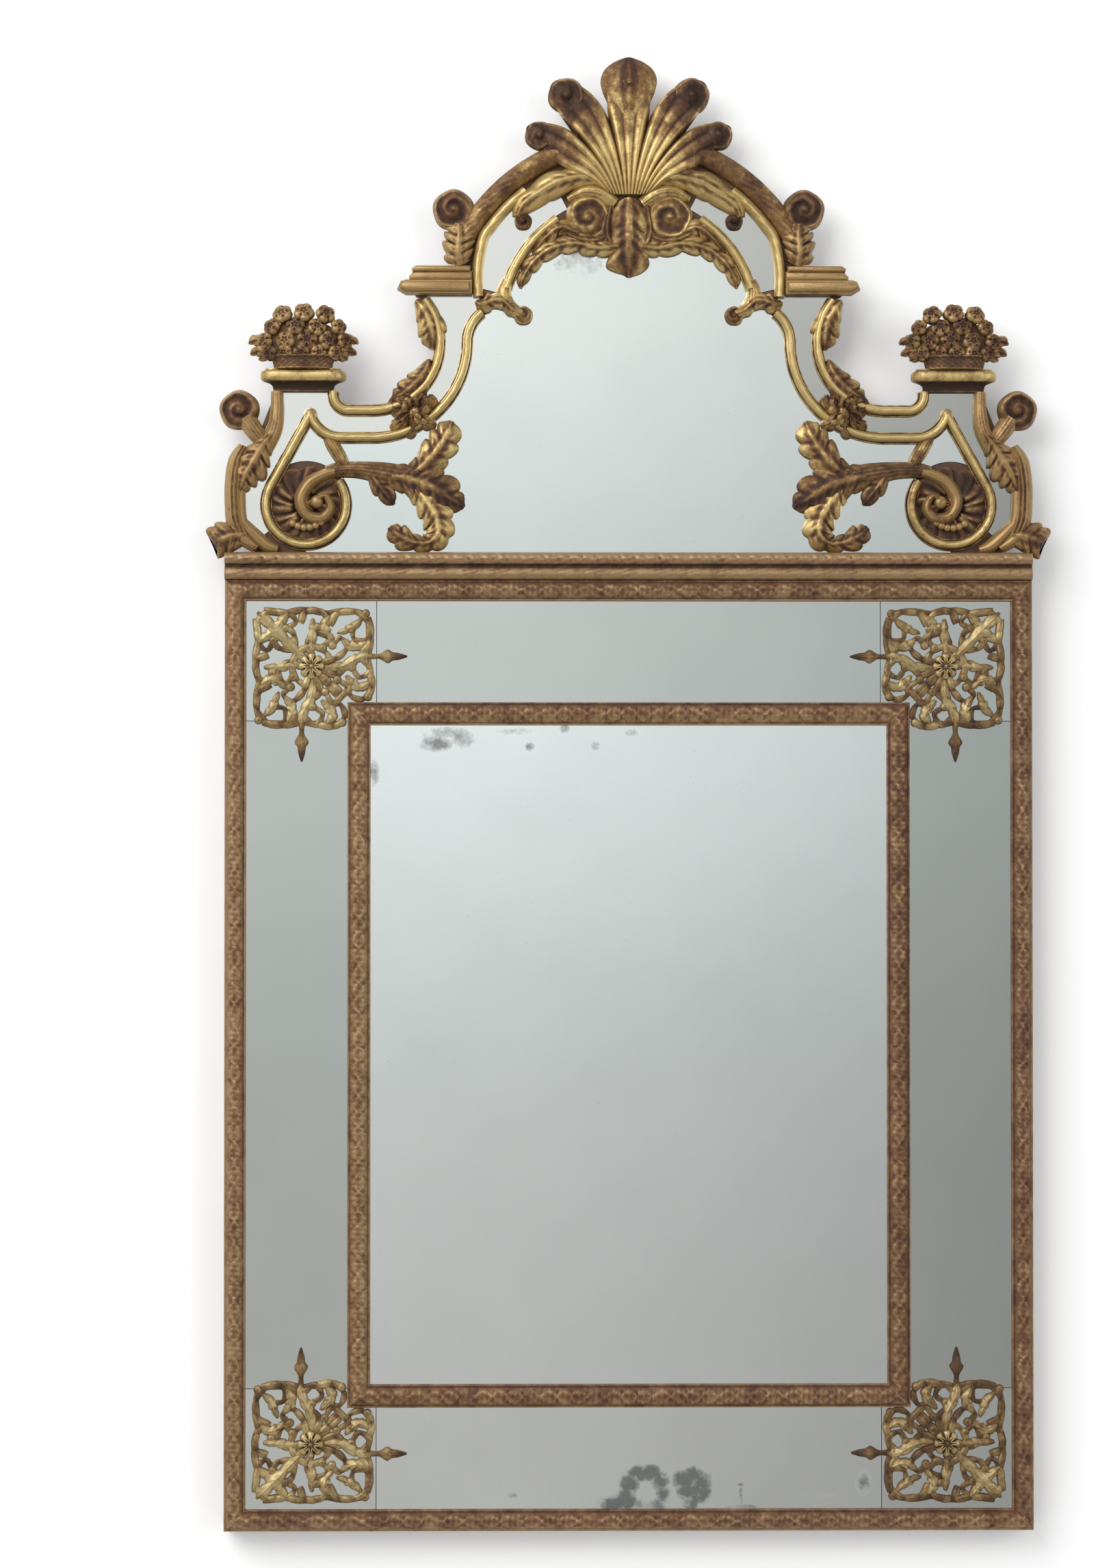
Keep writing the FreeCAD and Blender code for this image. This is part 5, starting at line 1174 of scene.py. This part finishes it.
def fretStrap(carving, line, waists, rng):
    # a rounded strap that swells, narrows to its end and ends in a ball
    run = np.linspace(0, 1, len(line))[:, None]
    taper = (1.0 - 0.35 * run) * (0.80 + 0.28 * np.abs(np.sin(np.pi * run * waists * 0.8)))
    half = np.linspace(-1, 1, 9)[None, :]
    front = plateFront + taper * fret["rise"] * (0.35 + 0.65 * np.sqrt(1 - half ** 2 * 0.96))
    sweep(carving, line, half * taper * fret["strap"] / 2, front, tone=tuple(rng.uniform(-0.02, 0.24, 2)))
    ball(carving, tuple(line[-1]), 5.2, tone=rng.uniform(0.0, 0.2))


def carveFret():
    carving = Carving()
    rng = np.random.default_rng(fret["seed"])
    for flipped in (False, True):
        for points in fret["straps"]:
            line = curveThrough([fretSpot(u, v, flipped) for u, v in points], 1.1)
            fretStrap(carving, line, len(points), rng)
        for rows in fret["leaves"][int(flipped):] + [fret["finial"]]:  # the first leaf lies on the diagonal
            tip = rows is fret["finial"]
            rows = [(*fretSpot(u, v, flipped), half, high) for u, v, half, high in rows]
            leaf(carving, rows, lobes=0 if tip else 3, edge=0.5, points=9, step=1.2,
                 tone=(0.16, 0.32) if tip else (0.08, -0.02))
    rose(carving, fretSpot(*fret["middle"]), 16.0, 9.5, 8, 12, 64)
    middle = lowerFrame["height"] / 2
    for place, tone in fret["tones"].items():
        up, side = place.split("_")
        mirrored = (1 if side == "right" else -1, 1 if up == "top" else -1)
        name = "cornerFret" + up.capitalize() + side.capitalize()
        finishPiece(name, carving, "corner_fret_" + place, "giltFret", mirrored, middle, tone)


carveFret()
print("corner ornament carved")

# stage, lights and camera, in m
stage = {"wallGlow": 0.07, "wallBack": 0.004, "half": 5.0, "tall": 4.0, "floor": -0.9, "floorReach": 1.4,
         "wallGrey": 0.93, "floorGrey": 0.86, "rough": 0.9}


def stageSheet(name, corners, shade, oneSided=False):
    mesh = bpy.data.meshes.new(name)
    mesh.from_pydata(corners, [], [(0, 1, 2, 3)])
    made = bpy.data.objects.new(name, mesh)
    bpy.context.scene.collection.objects.link(made)
    finish, tree, place = newFinish(name + "Finish")
    dress(tree, {"Base Color": opaque(grey(shade)), "Roughness": stage["rough"]})
    if oneSided:  # the wall shows only its room side, so the mirror's back can be looked at
        clear = put(tree, "BsdfTransparent").outputs[0]
        back = put(tree, "NewGeometry").outputs["Backfacing"]
        shown = tree.nodes["Principled BSDF"].outputs[0]
        either = put(tree, "MixShader", {0: back, 1: shown, 2: clear}).outputs[0]
        feed(tree, tree.nodes["Material Output"].inputs["Surface"], either)
        glow = {"Emission Color": opaque(grey(1.0)), "Emission Strength": stage["wallGlow"]}
        dress(tree, glow)  # a lit backdrop, so shadows on it stay pale
        made.visible_diffuse = False  # and light still reaches that back
        made.visible_shadow = False
    mesh.materials.append(finish)


half, back, low, tall, reach = [stage[part] for part in ("half", "wallBack", "floor", "tall", "floorReach")]
wallCorners = [(-half, back, low), (half, back, low), (half, back, tall), (-half, back, tall)]
floorCorners = [(-half, -reach, low), (half, -reach, low), (half, back, low), (-half, back, low)]
stageSheet("wall", wallCorners, stage["wallGrey"], True)
stageSheet("floor", floorCorners, stage["floorGrey"])

# the room: brightest just above eye level, dimmer overhead, below and to the right
skyStops = [(0.0, (0.20, 0.20, 0.20)), (0.32, (0.44, 0.445, 0.435)), (0.39, (0.49, 0.495, 0.485)),
            (0.46, (0.55, 0.58, 0.57)), (0.53, (0.82, 0.87, 0.865)), (0.65, (0.86, 0.90, 0.885)),
            (0.85, (0.66, 0.67, 0.67)), (1.0, (0.62, 0.62, 0.62))]
world = bpy.data.worlds.new("studio")
bpy.context.scene.world = world
world.use_nodes = True
tree = world.node_tree
way = apart(tree, put(tree, "TexCoord").outputs["Generated"])
upward = ramp(tree, spread(tree, way["Z"], -0.5, 0.5), skyStops)
aside = spread(tree, way["X"], 0.0, 0.14, 1.0, 0.60)
shaded = put(tree, "VectorMath", {0: upward, "Scale": aside}, operation="SCALE").outputs[0]
feed(tree, tree.nodes["Background"].inputs["Color"], shaded)
feed(tree, tree.nodes["Background"].inputs["Strength"], 1.0)

lamps = {"key": {"place": (-2.6, -3.4, 3.6), "size": 4.2, "power": 210.0},
         "fill": {"place": (3.2, -3.4, 1.4), "size": 3.0, "power": 60.0}}
lampAim = Vector((0, 0, 0.9))
for name, lamp in lamps.items():
    light = bpy.data.lights.new(name, "AREA")
    light.size = lamp["size"]
    light.energy = lamp["power"]
    made = bpy.data.objects.new(name, light)
    made.location = lamp["place"]
    made.rotation_euler = (lampAim - Vector(lamp["place"])).to_track_quat("-Z", "Y").to_euler()
    bpy.context.scene.collection.objects.link(made)

view = {"place": (-0.14989, -5.0, 0.78434), "lens": 97.055, "sensor": 36.0, "pitch": 0.01808, "yaw": 0.01285}
camera = bpy.data.objects.new("camera", bpy.data.cameras.new("camera"))
camera.data.lens = view["lens"]
camera.data.sensor_width = view["sensor"]
camera.matrix_world = (Matrix.Translation(view["place"]) @ Matrix.Rotation(-view["yaw"], 4, "Z")
                       @ Matrix.Rotation(math.pi / 2 + view["pitch"], 4, "X"))
bpy.context.scene.collection.objects.link(camera)
bpy.context.scene.camera = camera
bpy.context.scene.view_settings.view_transform = "Standard"
